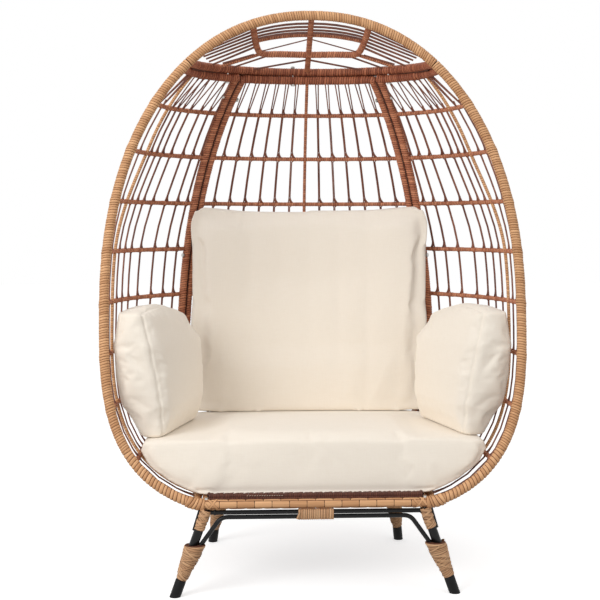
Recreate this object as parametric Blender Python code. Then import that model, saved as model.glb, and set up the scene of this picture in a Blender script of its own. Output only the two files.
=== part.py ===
"""Egg chair: a woven shell of bolted panels on four splayed steel legs, with loose cushions.

Metres, +Z up.  The opening faces -Y and the feet stand on z = 0.  Depths are measured
backwards from the front rail, and the root empty then centres the whole chair on the origin.
Left and right are the viewer's, looking into the opening.
"""

import math

import bmesh
import bpy
from mathutils import Matrix, Vector

# Clearance between pieces that touch
GAP = 0.0003

# Outline of the opening: two superellipse halves that meet at the widest height
HALF_WIDTH = 0.5368
WIDEST_Z = 0.737
RIM_TOP_Z = 1.490
UPPER_POWER = 2.18
LOWER_DROP = 0.5263
LOWER_POWER = 3.2
RIM_LEAN = math.radians(9.5)

# Depth of the shell behind the opening
DEEPEST = 0.584
DEEPEST_Z = 0.60
UPPER_DEPTH_POWER = 1.7
LOWER_DEPTH_DROP = 0.76
LOWER_DEPTH_POWER = 2.0

# Plan of the shell: round above, squarer at the seat
ROUND_PLAN_POWER = 2.2
SEAT_PLAN_POWER = 6.0

# Where the panels part
BASE_Z = 0.238
CAP_SEAM_DROP = 0.1165
CAP_SEAM_Z = RIM_TOP_Z - CAP_SEAM_DROP
PANEL_TOP_DROP = 0.1400
PANEL_TOP_Z = RIM_TOP_Z - PANEL_TOP_DROP
RIM_SEAM_DROP = 0.1280
RIM_SEAM_Z = RIM_TOP_Z - RIM_SEAM_DROP
RIM_SEAM_GAP = 0.0006
BACK_SHARE_TOP = 0.575
BACK_SHARE_BASE = 0.73
TUBE_PITCH = 0.0225

# Wrapped tubes, rings and stakes
RIM_RADIUS = 0.013
TUBE_RADIUS = 0.010
SEAM_TUBE_RADIUS = 0.0113
JOINT_OVERHANG = 0.007
RING_RADIUS = 0.0062
ROD_RADIUS = 0.0048
STAKE_RADIUS = 0.0034
STAKE_LIFT = 0.005
PANEL_HEIGHT = PANEL_TOP_Z - BASE_Z
RING_LOW_SHARE = 0.0980
RING_PITCH_SHARE = 0.1187
RING_COUNT = 7
TOP_RING_SHARE = 0.9164
BACK_STAKES_PER_SIDE = 6
SIDE_FRONT_STAKE_SHARES = (0.27, 0.33)
SIDE_ROD_SHARE = 0.386
SIDE_STAKES_BEHIND = 7
SIDE_STAKE_END_SHARE = 0.975

# Roof panel: shares run from the rim (0) to the rear tube (1), and across the seam's half width
HOOP_RADIUS = 0.009
HOOP_WIDTH_SHARE = 0.4966
HOOP_SHARE = 0.66
HOOP_LEG_SHARE = 0.30
HOOP_LEG_NARROWING = 0.97
HOOP_CORNER_NARROWING = 0.87
CORNER_ROD_SHARE = 0.817
INNER_ROD_SHARE = 0.34
ROOF_STRAND_SHARES = (0.12, 0.23)
SPINE_RADIUS = 0.0075
ROOF_FAN_SHARES = (0.25, 0.5, 0.75)
ROOF_FAN_SPREAD = 0.2

# Seat base
SEAT_TUBE_RADIUS = 0.0122
SEAT_SIDE_INSET = 0.0248
SEAT_BACK_INSET = 0.0275
RAIL_OVERHANG = 0.011
SEAT_BAR_RADIUS = 0.007
SEAT_BAR_SHARES = (0.391, 0.741)
DECK_THICKNESS = 0.009
DECK_INSET = 0.006

# Legs
LEG_RADIUS = 0.0117
BAR_RADIUS = 0.0053
FRONT_LEG_SPLAY = (0.0805, 0.008)
REAR_LEG_SHARE = 0.885
REAR_LEG_SPLAY = (0.0299, 0.0750)
UPPER_BAR_DROP = 0.0211
LOWER_BAR_DROP = 0.0335
BRACE_BEND_SHARE = 0.845
BRACE_BEND_EASE = 0.012
BRACE_FOOT_Z = 0.095
BRACE_FOOT_SINK = 0.0046
FOOT_CAP_RADIUS = 0.0143
FOOT_CAP_HEIGHT = 0.038
FOOT_CAP_FLOOR = 0.004
LEG_END_Z = 0.0085
LOWER_WRAP_Z = (0.046, 0.134)
LOWER_WRAP_RADII = (0.0150, 0.0270)
LOWER_WRAP_SHIFT = 0.004
UPPER_WRAP_Z = (0.158, 0.1895)
UPPER_WRAP_RADIUS = 0.0150
WRAP_WALL = 0.0022
WRAP_TAPER_SHARE = 0.9
BAR_WRAP_HALF_LENGTH = 0.045
BAR_WRAP_CLEARANCE = 0.0010

# Cushions
SEAT_CUSHION_SECTIONS = ((0.0, 0.812), (0.24, 0.891), (0.52, 0.923), (0.8, 0.916), (1.0, 0.877))
SEAT_CUSHION_THICKNESS = 0.126
SEAT_CUSHION_FRONT = 0.012
SEAT_CUSHION_BACK_INSET = 0.030
SEAT_CUSHION_CORNER = 0.018
BACK_CUSHION_WIDTH_SHARE = 0.637
BACK_CUSHION_TOP_Z = 0.985
BACK_CUSHION_THICKNESS = 0.105
BACK_CUSHION_INSET = 0.022
BACK_CUSHION_SIDE_SHARE = 0.6
BACK_CUSHION_SIDE_LIFT = 0.005
BACK_CUSHION_PINCH = 0.020
ARM_CUSHION_TOP_Z = 0.712
ARM_CUSHION_THICKNESS = 0.082
ARM_CUSHION_LENGTH = 0.315
ARM_CUSHION_FRONT = 0.088
ARM_CUSHION_TURN = math.radians(22.0)
ARM_CUSHION_INSET = 0.022
ARM_CUSHION_CORNER = 0.012
ARM_CUSHION_SOFTNESS = 0.010

# Bolts
BOLT_RADIUS = 0.003
BOLT_HOLE_RADIUS = 0.0036
BOLT_HOLE_REACH = 0.03
BOLT_HEAD_RADIUS = 0.0062
BOLT_HEAD_HEIGHT = 0.004
BACK_BOLT_SHARES = (0.955, 0.550, 0.159)
ROOF_BOLT_SHARES = (-0.717, -0.131, 0.717)
SEAT_BOLT_SHARES = (0.206, 0.576)
LEG_BOLT_REACH = 0.010


# ---- Form of the shell ------------------------------------------------------


def superellipse(share, power):
    """Half extent, from 1 to 0, at a share of the height from 0 to 1."""
    return max(0.0, 1.0 - abs(share) ** power) ** (1.0 / power)


def half_width(z):
    if z >= WIDEST_Z:
        return HALF_WIDTH * superellipse((z - WIDEST_Z) / (RIM_TOP_Z - WIDEST_Z), UPPER_POWER)
    return HALF_WIDTH * superellipse((WIDEST_Z - z) / LOWER_DROP, LOWER_POWER)


def rim_depth(z):
    """Depth of the opening's plane, which leans back from the base."""
    return (z - BASE_Z) * math.tan(RIM_LEAN)


def shell_depth(z):
    """Depth of the shell behind the opening's plane."""
    if z >= DEEPEST_Z:
        return DEEPEST * superellipse((z - DEEPEST_Z) / (RIM_TOP_Z - DEEPEST_Z), UPPER_DEPTH_POWER)
    return DEEPEST * superellipse((DEEPEST_Z - z) / LOWER_DEPTH_DROP, LOWER_DEPTH_POWER)


def plan_power(z):
    below = max(0.0, (WIDEST_Z - z) / (WIDEST_Z - BASE_Z))
    return ROUND_PLAN_POWER + (SEAT_PLAN_POWER - ROUND_PLAN_POWER) * below**2


def shell(z, sweep):
    """Point on the shell: sweep 0 is the middle of the back, +-pi/2 is the rim."""
    power = 2.0 / plan_power(z)
    across = math.copysign(abs(math.sin(sweep)) ** power, sweep)
    back = max(0.0, math.cos(sweep)) ** power
    return Vector((half_width(z) * across, rim_depth(z) + shell_depth(z) * back, z))


def sweep_at(z, width_share):
    """Sweep where the shell's plan reaches a share of its half width."""
    side = math.asin(abs(width_share) ** (plan_power(z) / 2.0))
    return math.copysign(side, width_share)


def joint_sweep(z):
    """Sweep of the line where the side and the back panels meet."""
    down = (PANEL_TOP_Z - z) / (PANEL_TOP_Z - BASE_Z)
    return sweep_at(z, BACK_SHARE_TOP + (BACK_SHARE_BASE - BACK_SHARE_TOP) * down)


def crossing(path, axis, value):
    """Point where a path first reaches a value along an axis."""
    for start, end in zip(path, path[1:]):
        if min(start[axis], end[axis]) <= value <= max(start[axis], end[axis]):
            return start.lerp(end, (value - start[axis]) / (end[axis] - start[axis]))
    raise ValueError(f"the path doesn't reach {value}")


def nearest(path, place):
    """Point of a path that is nearest to a place."""
    found = []
    for start, end in zip(path, path[1:]):
        span = end - start
        share = min(1.0, max(0.0, (place - start).dot(span) / span.length_squared))
        found.append(start.lerp(end, share))
    return min(found, key=lambda point: (point - place).length)


def beside_joint(z, side):
    """Axis of the tube that runs beside the joint: side +1 towards the rim, -1 towards the back."""
    step = 0.002
    middle = joint_sweep(z)
    across = shell(z, middle + step) - shell(z, middle - step)
    along = shell(z + step, joint_sweep(z + step)) - shell(z - step, joint_sweep(z - step))
    across -= across.project(along)
    return shell(z, middle) + across.normalized() * (side * TUBE_PITCH / 2)


def ring_arc(z):
    """Fine path round the shell at one height, from the right rim to the joint."""
    return [shell(z, a) for a in spaced(math.pi / 2, joint_sweep(z), 40)]


def along(path, share):
    """Point at a share of a path's length."""
    lengths = [(end - start).length for start, end in zip(path, path[1:])]
    left = share * sum(lengths)
    for start, end, length in zip(path, path[1:], lengths):
        if left <= length:
            return start.lerp(end, left / length)
        left -= length
    return path[-1]


def side_point(z, share):
    """Point of the right side panel: share 0 is the rim and 1 the joint."""
    return along(ring_arc(z), share)


def back_point(z, share):
    """Point of the back panel: share -1 and 1 are its joints."""
    edge = shell(z, joint_sweep(z)).x
    return shell(z, sweep_at(z, share * edge / half_width(z)))


def lifted(point_at, z, share, height):
    """Point raised from the shell towards the sitter, across both of its tangents."""
    step = 0.004
    along = point_at(z, share + step) - point_at(z, share - step)
    up = point_at(z + step, share) - point_at(z - step, share)
    normal = along.cross(up).normalized()
    place = point_at(z, share)
    outwards = place - Vector((0.0, rim_depth(z), place.z))
    return place - normal * math.copysign(height, normal.dot(outwards))


def spaced(start, end, count):
    return [start + (end - start) * i / (count - 1) for i in range(count)]


def row_height(share):
    return BASE_Z + PANEL_HEIGHT * share


def row_heights():
    """Heights of the rings, from the lowest to the one below the roof."""
    shares = [RING_LOW_SHARE + RING_PITCH_SHARE * i for i in range(RING_COUNT)]
    return [row_height(share) for share in [*shares, TOP_RING_SHARE]]


def mirrored(points):
    return [Vector((-p.x, p.y, p.z)) for p in points]


def extended(points, length):
    """The path with both ends drawn out, so that a tube ends inside its neighbour."""
    first = points[0] + (points[0] - points[1]).normalized() * length
    last = points[-1] + (points[-1] - points[-2]).normalized() * length
    return [first, *points[1:-1], last]


# ---- Solids -----------------------------------------------------------------


def material(name, colour, roughness, metallic=0.0):
    made = bpy.data.materials.new(name)
    made.use_nodes = True
    shader = made.node_tree.nodes["Principled BSDF"]
    shader.inputs["Base Color"].default_value = (*colour, 1.0)
    shader.inputs["Roughness"].default_value = roughness
    shader.inputs["Metallic"].default_value = metallic
    made.diffuse_color = (*colour, 1.0)
    return made


def poly_curve(points, closed):
    """Linked curve object of straight runs between points."""
    curve = bpy.data.curves.new("path", "CURVE")
    curve.dimensions = "3D"
    spline = curve.splines.new("POLY")
    spline.points.add(len(points) - 1)
    spline.use_cyclic_u = closed
    for knot, place in zip(spline.points, points):
        knot.co = (*place, 1.0)
    holder = bpy.data.objects.new("path", curve)
    bpy.context.scene.collection.objects.link(holder)
    return holder


def rod(points, radius, sides=6):
    """Mesh of a bar along a path, with flat ends and a section of as many sides as asked for."""
    turns = [math.tau * (i + 0.5) / sides for i in range(sides)]
    section = poly_curve([(radius * math.cos(a), radius * math.sin(a), 0.0) for a in turns], True)
    path = poly_curve(points, False)
    path.data.bevel_mode = "OBJECT"
    path.data.bevel_object = section
    path.data.use_fill_caps = True
    bpy.context.view_layer.update()
    graph = bpy.context.evaluated_depsgraph_get()
    mesh = bpy.data.meshes.new_from_object(path.evaluated_get(graph))
    for helper in (path, section):
        bpy.data.objects.remove(helper)
    return cleaned(mesh)


def cleaned(mesh):
    """Welds doubled corners and turns every face outwards."""
    form = bmesh.new()
    form.from_mesh(mesh)
    bmesh.ops.remove_doubles(form, verts=form.verts, dist=0.00001)
    bmesh.ops.recalc_face_normals(form, faces=form.faces)
    form.to_mesh(mesh)
    form.free()
    return mesh


def loft(sections):
    """Closed mesh through rings of points, capped at both ends."""
    form = bmesh.new()
    rings = [[form.verts.new(point) for point in section] for section in sections]
    for low, high in zip(rings, rings[1:]):
        for i in range(len(low)):
            j = (i + 1) % len(low)
            form.faces.new((low[i], low[j], high[j], high[i]))
    form.faces.new(rings[0])
    form.faces.new(rings[-1])
    bmesh.ops.recalc_face_normals(form, faces=form.faces)
    mesh = bpy.data.meshes.new("loft")
    form.to_mesh(mesh)
    form.free()
    return mesh


def turned(profile, sides, start, direction):
    """Mesh of a profile of (radius, distance) spun about the axis from start."""
    form = bmesh.new()
    corners = [form.verts.new((radius, 0.0, along)) for radius, along in profile]
    loop = corners + corners[:1] if profile[0][0] > 0 else corners
    edges = [form.edges.new(pair) for pair in zip(loop, loop[1:])]
    bmesh.ops.spin(
        form, geom=edges, axis=(0, 0, 1), cent=(0, 0, 0), angle=math.tau, steps=sides, use_merge=True
    )
    bmesh.ops.remove_doubles(form, verts=form.verts, dist=0.00001)
    bmesh.ops.recalc_face_normals(form, faces=form.faces)
    turn = Vector(direction).to_track_quat("Z", "Y").to_matrix().to_4x4()
    bmesh.ops.transform(form, matrix=Matrix.Translation(start) @ turn, verts=form.verts)
    mesh = bpy.data.meshes.new("turned")
    form.to_mesh(mesh)
    form.free()
    return mesh


def cut_level(mesh, z, keep_above):
    """The mesh cut flat at a height, keeping one side."""
    form = bmesh.new()
    form.from_mesh(mesh)
    everything = [*form.verts, *form.edges, *form.faces]
    cut = bmesh.ops.bisect_plane(
        form,
        geom=everything,
        dist=0.000001,
        plane_co=(0, 0, z),
        plane_no=(0, 0, 1),
        clear_inner=keep_above,
        clear_outer=not keep_above,
    )
    rim = [edge for edge in cut["geom_cut"] if isinstance(edge, bmesh.types.BMEdge)]
    bmesh.ops.contextual_create(form, geom=rim)
    bmesh.ops.recalc_face_normals(form, faces=form.faces)
    form.to_mesh(mesh)
    form.free()
    return mesh


def node(name, mesh, finish, smooth_angle=50.0):
    """Named object of the chair, parented to its root."""
    mesh.name = name
    mesh.materials.clear()
    mesh.materials.append(finish)
    mesh.shade_smooth()
    mesh.set_sharp_from_angle(angle=math.radians(smooth_angle))
    made = bpy.data.objects.new(name, mesh)
    bpy.context.scene.collection.objects.link(made)
    made.parent = bpy.data.objects["egg_chair"]
    return made


def combined(base, others, operation):
    """Mesh of a base joined with, or cut by, every other mesh."""
    if not others:
        return base
    tools = bpy.data.collections.new("tools")
    bpy.context.scene.collection.children.link(tools)
    host = bpy.data.objects.new("host", base)
    bpy.context.scene.collection.objects.link(host)
    for mesh in others:
        tools.objects.link(bpy.data.objects.new("tool", mesh))
    boolean = host.modifiers.new("combine", "BOOLEAN")
    boolean.operation = operation
    boolean.solver = "EXACT"
    boolean.operand_type = "COLLECTION"
    boolean.collection = tools
    bpy.context.view_layer.update()
    graph = bpy.context.evaluated_depsgraph_get()
    result = bpy.data.meshes.new_from_object(host.evaluated_get(graph))
    for helper in [host, *tools.objects]:
        bpy.data.objects.remove(helper)
    bpy.data.collections.remove(tools)
    return result


def welded(pieces):
    return combined(pieces[0], pieces[1:], "UNION")


def drilled(mesh, bolts):
    """The mesh with a clearance hole for each bolt, given as its two tube centres."""
    return combined(mesh, [bolt_hole(start, end) for start, end in bolts], "DIFFERENCE")


def flipped(mesh):
    """Copy of a mesh reflected to the chair's other side."""
    form = bmesh.new()
    form.from_mesh(mesh)
    bmesh.ops.scale(form, vec=(-1.0, 1.0, 1.0), verts=form.verts)
    bmesh.ops.reverse_faces(form, faces=form.faces)
    copy = bpy.data.meshes.new("flipped")
    form.to_mesh(copy)
    form.free()
    return copy


# ---- Bolts ------------------------------------------------------------------


def bolt_hole(start, end):
    direction = (end - start).normalized()
    length = (end - start).length + 2 * BOLT_HOLE_REACH
    profile = ((0.0, 0.0), (BOLT_HOLE_RADIUS, 0.0), (BOLT_HOLE_RADIUS, length), (0.0, length))
    return turned(profile, 6, start - direction * BOLT_HOLE_REACH, direction)


def bolt(start, end, start_radius, end_radius):
    """Bolt and nut through two tubes, given by the tubes' centres and radii."""
    high = (end - start).length + end_radius + GAP
    nut = (
        (BOLT_RADIUS, high),
        (BOLT_HEAD_RADIUS, high),
        (BOLT_HEAD_RADIUS, high + BOLT_HEAD_HEIGHT),
        (0.0, high + BOLT_HEAD_HEIGHT),
    )
    return turned(bolt_head(-start_radius - GAP) + nut, 6, start, end - start)


def screw(start, end, start_radius):
    """Bolt with no nut, whose end stops inside the second piece."""
    length = (end - start).length
    tip = ((BOLT_RADIUS, length), (0.0, length))
    return turned(bolt_head(-start_radius - GAP) + tip, 6, start, end - start)


def bolt_head(seat):
    """Profile of a head whose flat sits at a distance along the bolt."""
    return (
        (0.0, seat - BOLT_HEAD_HEIGHT),
        (BOLT_HEAD_RADIUS, seat - BOLT_HEAD_HEIGHT),
        (BOLT_HEAD_RADIUS, seat),
        (BOLT_RADIUS, seat),
    )


def back_bolts():
    """Bolts between the right side panel and the back panel."""
    places = [crossing(joint_path(1), 2, row_height(share)) for share in BACK_BOLT_SHARES]
    return [(place, nearest(joint_path(-1), place)) for place in places]


def roof_bolts():
    """Bolts between the roof's rear tube and the top tubes of the panels below it."""
    right, middle = side_top_path(), back_row(PANEL_TOP_Z)
    places = []
    for share in ROOF_BOLT_SHARES:
        x = share * half_width(CAP_SEAM_Z)
        below = middle if abs(x) < middle[-1].x else (right if x > 0 else mirrored(right))
        place = crossing(roof_rear_path(), 0, x)
        places.append((place, nearest(below, place)))
    return places


def seat_bolts():
    """Bolts between the right side panel's base tube and the seat frame."""
    places = [crossing(base_path(), 1, seat_depth() * share) for share in SEAT_BOLT_SHARES]
    return [(place, nearest(seat_path(), place)) for place in places]


def leg_tops():
    """Places on the seat frame's axis above the right front and rear legs."""
    return seat_path()[0], crossing(seat_path(), 1, seat_depth() * REAR_LEG_SHARE)


def leg_bolts():
    """Bolts from the top of the seat frame down into the right legs."""
    down = Vector((0.0, 0.0, -(SEAT_TUBE_RADIUS + LEG_BOLT_REACH)))
    return [(top, top + down) for top in leg_tops()]


# ---- Woven panels -----------------------------------------------------------


def row_heights_with_ends():
    return [BASE_Z, *row_heights(), PANEL_TOP_Z]


def joint_path(side):
    """Axis of a right joint tube: side +1 is the side panel's, -1 the back panel's."""
    return [beside_joint(z, side) for z in row_heights_with_ends()]


def side_top_path():
    """Axis of the right side panel's top tube, from the rim to its joint tube."""
    return [*[side_point(PANEL_TOP_Z, share) for share in spaced(0.0, 1.0, 6)[:-1]], joint_path(1)[-1]]


def base_path():
    """Axis of the right side panel's base tube, from the rim to its joint tube."""
    return [*[side_point(BASE_Z, share) for share in spaced(0.0, 1.0, 9)[:-1]], joint_path(1)[0]]


def side_panel():
    """Right side: rim, top, joint and base tubes, with rings and stakes welded between them."""
    rim = [shell(z, math.pi / 2) for z in rim_heights(BASE_Z, RIM_SEAM_Z - RIM_SEAM_GAP)]
    joint = joint_path(1)
    pieces = [
        rod(rim, RIM_RADIUS, 8),
        rod(side_top_path(), SEAM_TUBE_RADIUS),
        rod(extended(joint, JOINT_OVERHANG), TUBE_RADIUS),
        rod(base_path(), TUBE_RADIUS),
    ]
    for z in row_heights():
        ring = [side_point(z, share) for share in spaced(0.0, 1.0, 5)[:-1]]
        pieces.append(rod([*ring, beside_joint(z, 1)], RING_RADIUS, 4))
    for share, radius, sides in side_stakes():
        stake = [lifted(side_point, z, share, STAKE_LIFT) for z in row_heights_with_ends()]
        pieces.append(rod(stake, radius, sides))
    return drilled(welded(pieces), back_bolts() + seat_bolts() + roof_bolts()[2:])


def rim_heights(low, high):
    """Heights along the rim between two of its own, spaced for an even curve."""
    if low >= WIDEST_Z:
        return upper_heights(low, high, 9)
    start = math.asin(((WIDEST_Z - low) / LOWER_DROP) ** (LOWER_POWER / 2))
    turns = spaced(start, 0.0, 9)
    lower = [WIDEST_Z - LOWER_DROP * math.sin(turn) ** (2 / LOWER_POWER) for turn in turns]
    return lower + upper_heights(WIDEST_Z, high, 8)[1:]


def upper_heights(low, high, count):
    rise = RIM_TOP_Z - WIDEST_Z
    ends = [math.asin(((z - WIDEST_Z) / rise) ** (UPPER_POWER / 2)) for z in (low, high)]
    return [WIDEST_Z + rise * math.sin(turn) ** (2 / UPPER_POWER) for turn in spaced(*ends, count)]


def side_stakes():
    """(share, radius, sides) of each stake of a side panel, from the rim to the joint."""
    behind = spaced(SIDE_ROD_SHARE, SIDE_STAKE_END_SHARE, SIDE_STAKES_BEHIND + 2)[1:-1]
    thin = [(share, STAKE_RADIUS, 3) for share in (*SIDE_FRONT_STAKE_SHARES, *behind)]
    return [*thin, (SIDE_ROD_SHARE, ROD_RADIUS, 6)]


def back_panel():
    """Closed tube frame with rings, a thick middle rod and thin stakes on each side of it."""
    joint = extended(joint_path(-1), JOINT_OVERHANG)
    pieces = [rod(joint, TUBE_RADIUS), rod(mirrored(joint), TUBE_RADIUS)]
    pieces += [rod(back_row(PANEL_TOP_Z), SEAM_TUBE_RADIUS), rod(back_row(BASE_Z), TUBE_RADIUS)]
    pieces += [rod(back_row(z), RING_RADIUS, 4) for z in row_heights()]
    for share in spaced(-1.0, 1.0, 2 * BACK_STAKES_PER_SIDE + 3)[1:-1]:
        stake = [lifted(back_point, z, share, STAKE_LIFT) for z in row_heights_with_ends()]
        middle = abs(share) < 0.01
        pieces.append(rod(stake, ROD_RADIUS if middle else STAKE_RADIUS, 6 if middle else 3))
    bolts = back_bolts()
    bolts += [tuple(mirrored(pair)) for pair in bolts]
    return drilled(welded(pieces), bolts + roof_bolts()[1:2])


def back_row(z):
    """Level row of the back panel, ending on the axes of its joint tubes."""
    inner = [back_point(z, share) for share in spaced(-1.0, 1.0, 7)[1:-1]]
    end = beside_joint(z, -1)
    return [*mirrored([end]), *inner, end]


def roof_point(across, back):
    """Point of the roof: across runs over the rim from -1 to 1, back from the rim to the seam."""
    seam = roof_seam(across * math.pi / 2)
    rise = RIM_TOP_Z - CAP_SEAM_Z
    z = CAP_SEAM_Z + rise * superellipse(seam.x / half_width(CAP_SEAM_Z), UPPER_POWER)
    rim = Vector((seam.x, rim_depth(z), z))
    return rim.lerp(seam, back)


def roof_seam(sweep):
    """Point of the roof's rear tube, which lies straight above the top tubes of the panels."""
    point = shell(CAP_SEAM_Z, sweep)
    share = (point.y - rim_depth(CAP_SEAM_Z)) / shell_depth(CAP_SEAM_Z)
    point.y = rim_depth(CAP_SEAM_Z) + shell_depth(PANEL_TOP_Z) * share
    return point


def roof_rear_path():
    return [roof_seam(a) for a in spaced(-math.pi / 2, math.pi / 2, 15)]


def roof_panel():
    """Front rim arc and rear tube, with the hoop, spine, rods and fan strands between them."""
    rim = [shell(z, math.pi / 2) for z in rim_heights(RIM_SEAM_Z + RIM_SEAM_GAP, RIM_TOP_Z)]
    rim = rim[:-1] + mirrored(rim)[::-1]
    front_edge = across_of(HOOP_WIDTH_SHARE)
    leg, corner = front_edge * HOOP_LEG_NARROWING, front_edge * HOOP_CORNER_NARROWING
    hoop = [roof_point(-front_edge, 0.0), roof_point(-leg, HOOP_LEG_SHARE)]
    hoop += [roof_point(a, HOOP_SHARE) for a in spaced(-corner, corner, 5)]
    hoop += [roof_point(leg, HOOP_LEG_SHARE), roof_point(front_edge, 0.0)]
    pieces = [
        rod(rim, RIM_RADIUS, 8),
        rod(roof_rear_path(), SEAM_TUBE_RADIUS, 8),
        rod(hoop, HOOP_RADIUS),
        rod([roof_point(0.0, b) for b in spaced(0.0, 1.0, 4)], SPINE_RADIUS),
        rod(roof_row(INNER_ROD_SHARE, leg), ROD_RADIUS),
    ]
    pieces += [rod(roof_row(b, leg), STAKE_RADIUS, 3) for b in ROOF_STRAND_SHARES]
    for side in (-1, 1):
        foot = roof_point(side * across_of(CORNER_ROD_SHARE), 1.0)
        pieces.append(rod([roof_point(side * corner, HOOP_SHARE), foot], ROD_RADIUS))
        for share in ROOF_FAN_SHARES:
            start = roof_point(side * leg, HOOP_SHARE * share)
            across = 1.0 - (1.0 - front_edge) * ROOF_FAN_SPREAD * share
            pieces.append(rod([start, roof_point(side * across, share)], STAKE_RADIUS, 3))
    return drilled(welded(pieces), roof_bolts())


def across_of(share):
    """The roof's across value at a share of the seam's half width."""
    return sweep_at(CAP_SEAM_Z, share) / (math.pi / 2)


def roof_row(back, reach):
    return [roof_point(a, back) for a in spaced(-reach, reach, 5)]


# ---- Seat base --------------------------------------------------------------


def seat_half_width():
    return half_width(BASE_Z) - SEAT_SIDE_INSET


def seat_depth():
    return shell_depth(BASE_Z) - SEAT_BACK_INSET


def seat_plan(width, depth, steps):
    """Half plan from the front right corner round to the middle of the back."""
    power = 2.0 / SEAT_PLAN_POWER
    turns = spaced(math.pi / 2, 0.0, steps)
    return [(width * math.sin(a) ** power, depth * math.cos(a) ** power) for a in turns]


def seat_path():
    """Axis of the seat tube from the front right corner to the middle of the back."""
    return [Vector((x, y, BASE_Z)) for x, y in seat_plan(seat_half_width(), seat_depth(), 11)]


def seat_frame():
    """D-shaped tube with its straight front rail, and two bars under the deck."""
    right = seat_path()
    loop = right[:-1] + mirrored(right)[::-1]
    front = [loop[-1], loop[0]]
    pieces = [rod(loop, SEAT_TUBE_RADIUS, 8), rod(extended(front, RAIL_OVERHANG), SEAT_TUBE_RADIUS, 8)]
    for share in SEAT_BAR_SHARES:
        end = crossing(right, 1, seat_depth() * share)
        pieces.append(rod([*mirrored([end]), end], SEAT_BAR_RADIUS))
    bolts = seat_bolts() + leg_bolts()
    bolts += [tuple(mirrored(pair)) for pair in bolts]
    return drilled(welded(pieces), bolts)


def seat_deck():
    """Flat woven deck on top of the seat frame."""
    low = BASE_Z + SEAT_TUBE_RADIUS + BOLT_HEAD_HEIGHT + 2 * GAP
    right = seat_plan(seat_half_width() - DECK_INSET, seat_depth() - DECK_INSET, 9)
    outline = right + [(-x, y) for x, y in right[-2::-1]]
    return loft([[Vector((x, y, low + rise)) for x, y in outline] for rise in (0.0, DECK_THICKNESS)])


# ---- Legs -------------------------------------------------------------------


def leg_line(top, splay):
    """Ends of a leg's axis: under the seat tube and, splayed out from there, on the floor."""
    foot = Vector((top.x + splay[0], top.y + splay[1], 0.0))
    return top - Vector((0.0, 0.0, SEAT_TUBE_RADIUS + GAP)), foot


def on_leg(line, z):
    top, foot = line
    return foot.lerp(top, z / top.z)


def leg_frame(line, bolt_place):
    """Two splayed legs welded to a crossbar and to a lower rod that bends down into braces."""
    top = line[0].z
    leg = [on_leg(line, top + LEG_RADIUS), on_leg(line, LEG_END_Z)]
    upper = on_leg(line, BASE_Z - UPPER_BAR_DROP)
    bend = on_leg(line, BASE_Z - LOWER_BAR_DROP)
    bend.x *= BRACE_BEND_SHARE
    brace_foot = on_leg(line, BRACE_FOOT_Z)
    brace_foot.x -= BRACE_FOOT_SINK
    below = bend + (brace_foot - bend).normalized() * BRACE_BEND_EASE
    half = [brace_foot, below, bend + Vector((-BRACE_BEND_EASE, 0.0, 0.0))]
    brace = half + mirrored(half)[::-1]
    pieces = [
        cut_level(rod(leg, LEG_RADIUS, 8), top, False),
        cut_level(rod(mirrored(leg), LEG_RADIUS, 8), top, False),
        rod([upper, *mirrored([upper])], BAR_RADIUS),
        rod(brace, BAR_RADIUS),
    ]
    bolts = [bolt_place, tuple(mirrored(bolt_place))]
    return drilled(welded(pieces), bolts)


def foot_cap(line):
    """Cup on the leg's end, cut level with the floor."""
    upwards = (line[0] - line[1]).normalized()
    bore = (LEG_RADIUS + GAP) / math.cos(math.pi / 8)
    low, floor, high = -FOOT_CAP_RADIUS, FOOT_CAP_FLOOR / upwards.z, FOOT_CAP_HEIGHT
    outside = ((0.0, low), (FOOT_CAP_RADIUS, low), (FOOT_CAP_RADIUS, high))
    inside = ((bore, high), (bore, floor), (0.0, floor))
    return cut_level(turned(outside + inside, 8, line[1], upwards), 0.0, True)


def sleeve(line, heights, radii, shift):
    """Wicker binding round a leg, shifted inwards at the top where it takes in the brace."""
    low, high = (on_leg(line, z) for z in heights)
    high.x -= shift
    length = (high - low).length
    profile = (
        (radii[0], 0.0),
        (radii[1], length * WRAP_TAPER_SHARE),
        (radii[1] - WRAP_WALL / 2, length),
        (radii[1] - WRAP_WALL, length),
        (radii[0] - WRAP_WALL, 0.0),
    )
    return turned(profile, 8, low, high - low)


def bar_wrap(line):
    """Binding that ties the crossbar and the lower rod together in the middle."""
    top = on_leg(line, BASE_Z - UPPER_BAR_DROP)
    low = on_leg(line, BASE_Z - LOWER_BAR_DROP)

    def around(x, radius):
        turns = spaced(0.0, math.pi, 5)
        over = [Vector((x, top.y + radius * math.cos(a), top.z + radius * math.sin(a))) for a in turns]
        under = [Vector((x, low.y - radius * math.cos(a), low.z - radius * math.sin(a))) for a in turns]
        return over + under

    ends = (-BAR_WRAP_HALF_LENGTH, BAR_WRAP_HALF_LENGTH)
    inside = BAR_RADIUS + BAR_WRAP_CLEARANCE
    outer = loft([around(x, inside + WRAP_WALL) for x in ends])
    bore = loft([around(2 * x, inside) for x in ends])
    return combined(outer, [bore], "DIFFERENCE")


# ---- Cushions ---------------------------------------------------------------


def deck_top():
    return BASE_Z + SEAT_TUBE_RADIUS + BOLT_HEAD_HEIGHT + 3 * GAP + DECK_THICKNESS


def seat_cushion_top():
    return deck_top() + SEAT_CUSHION_THICKNESS


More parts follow.
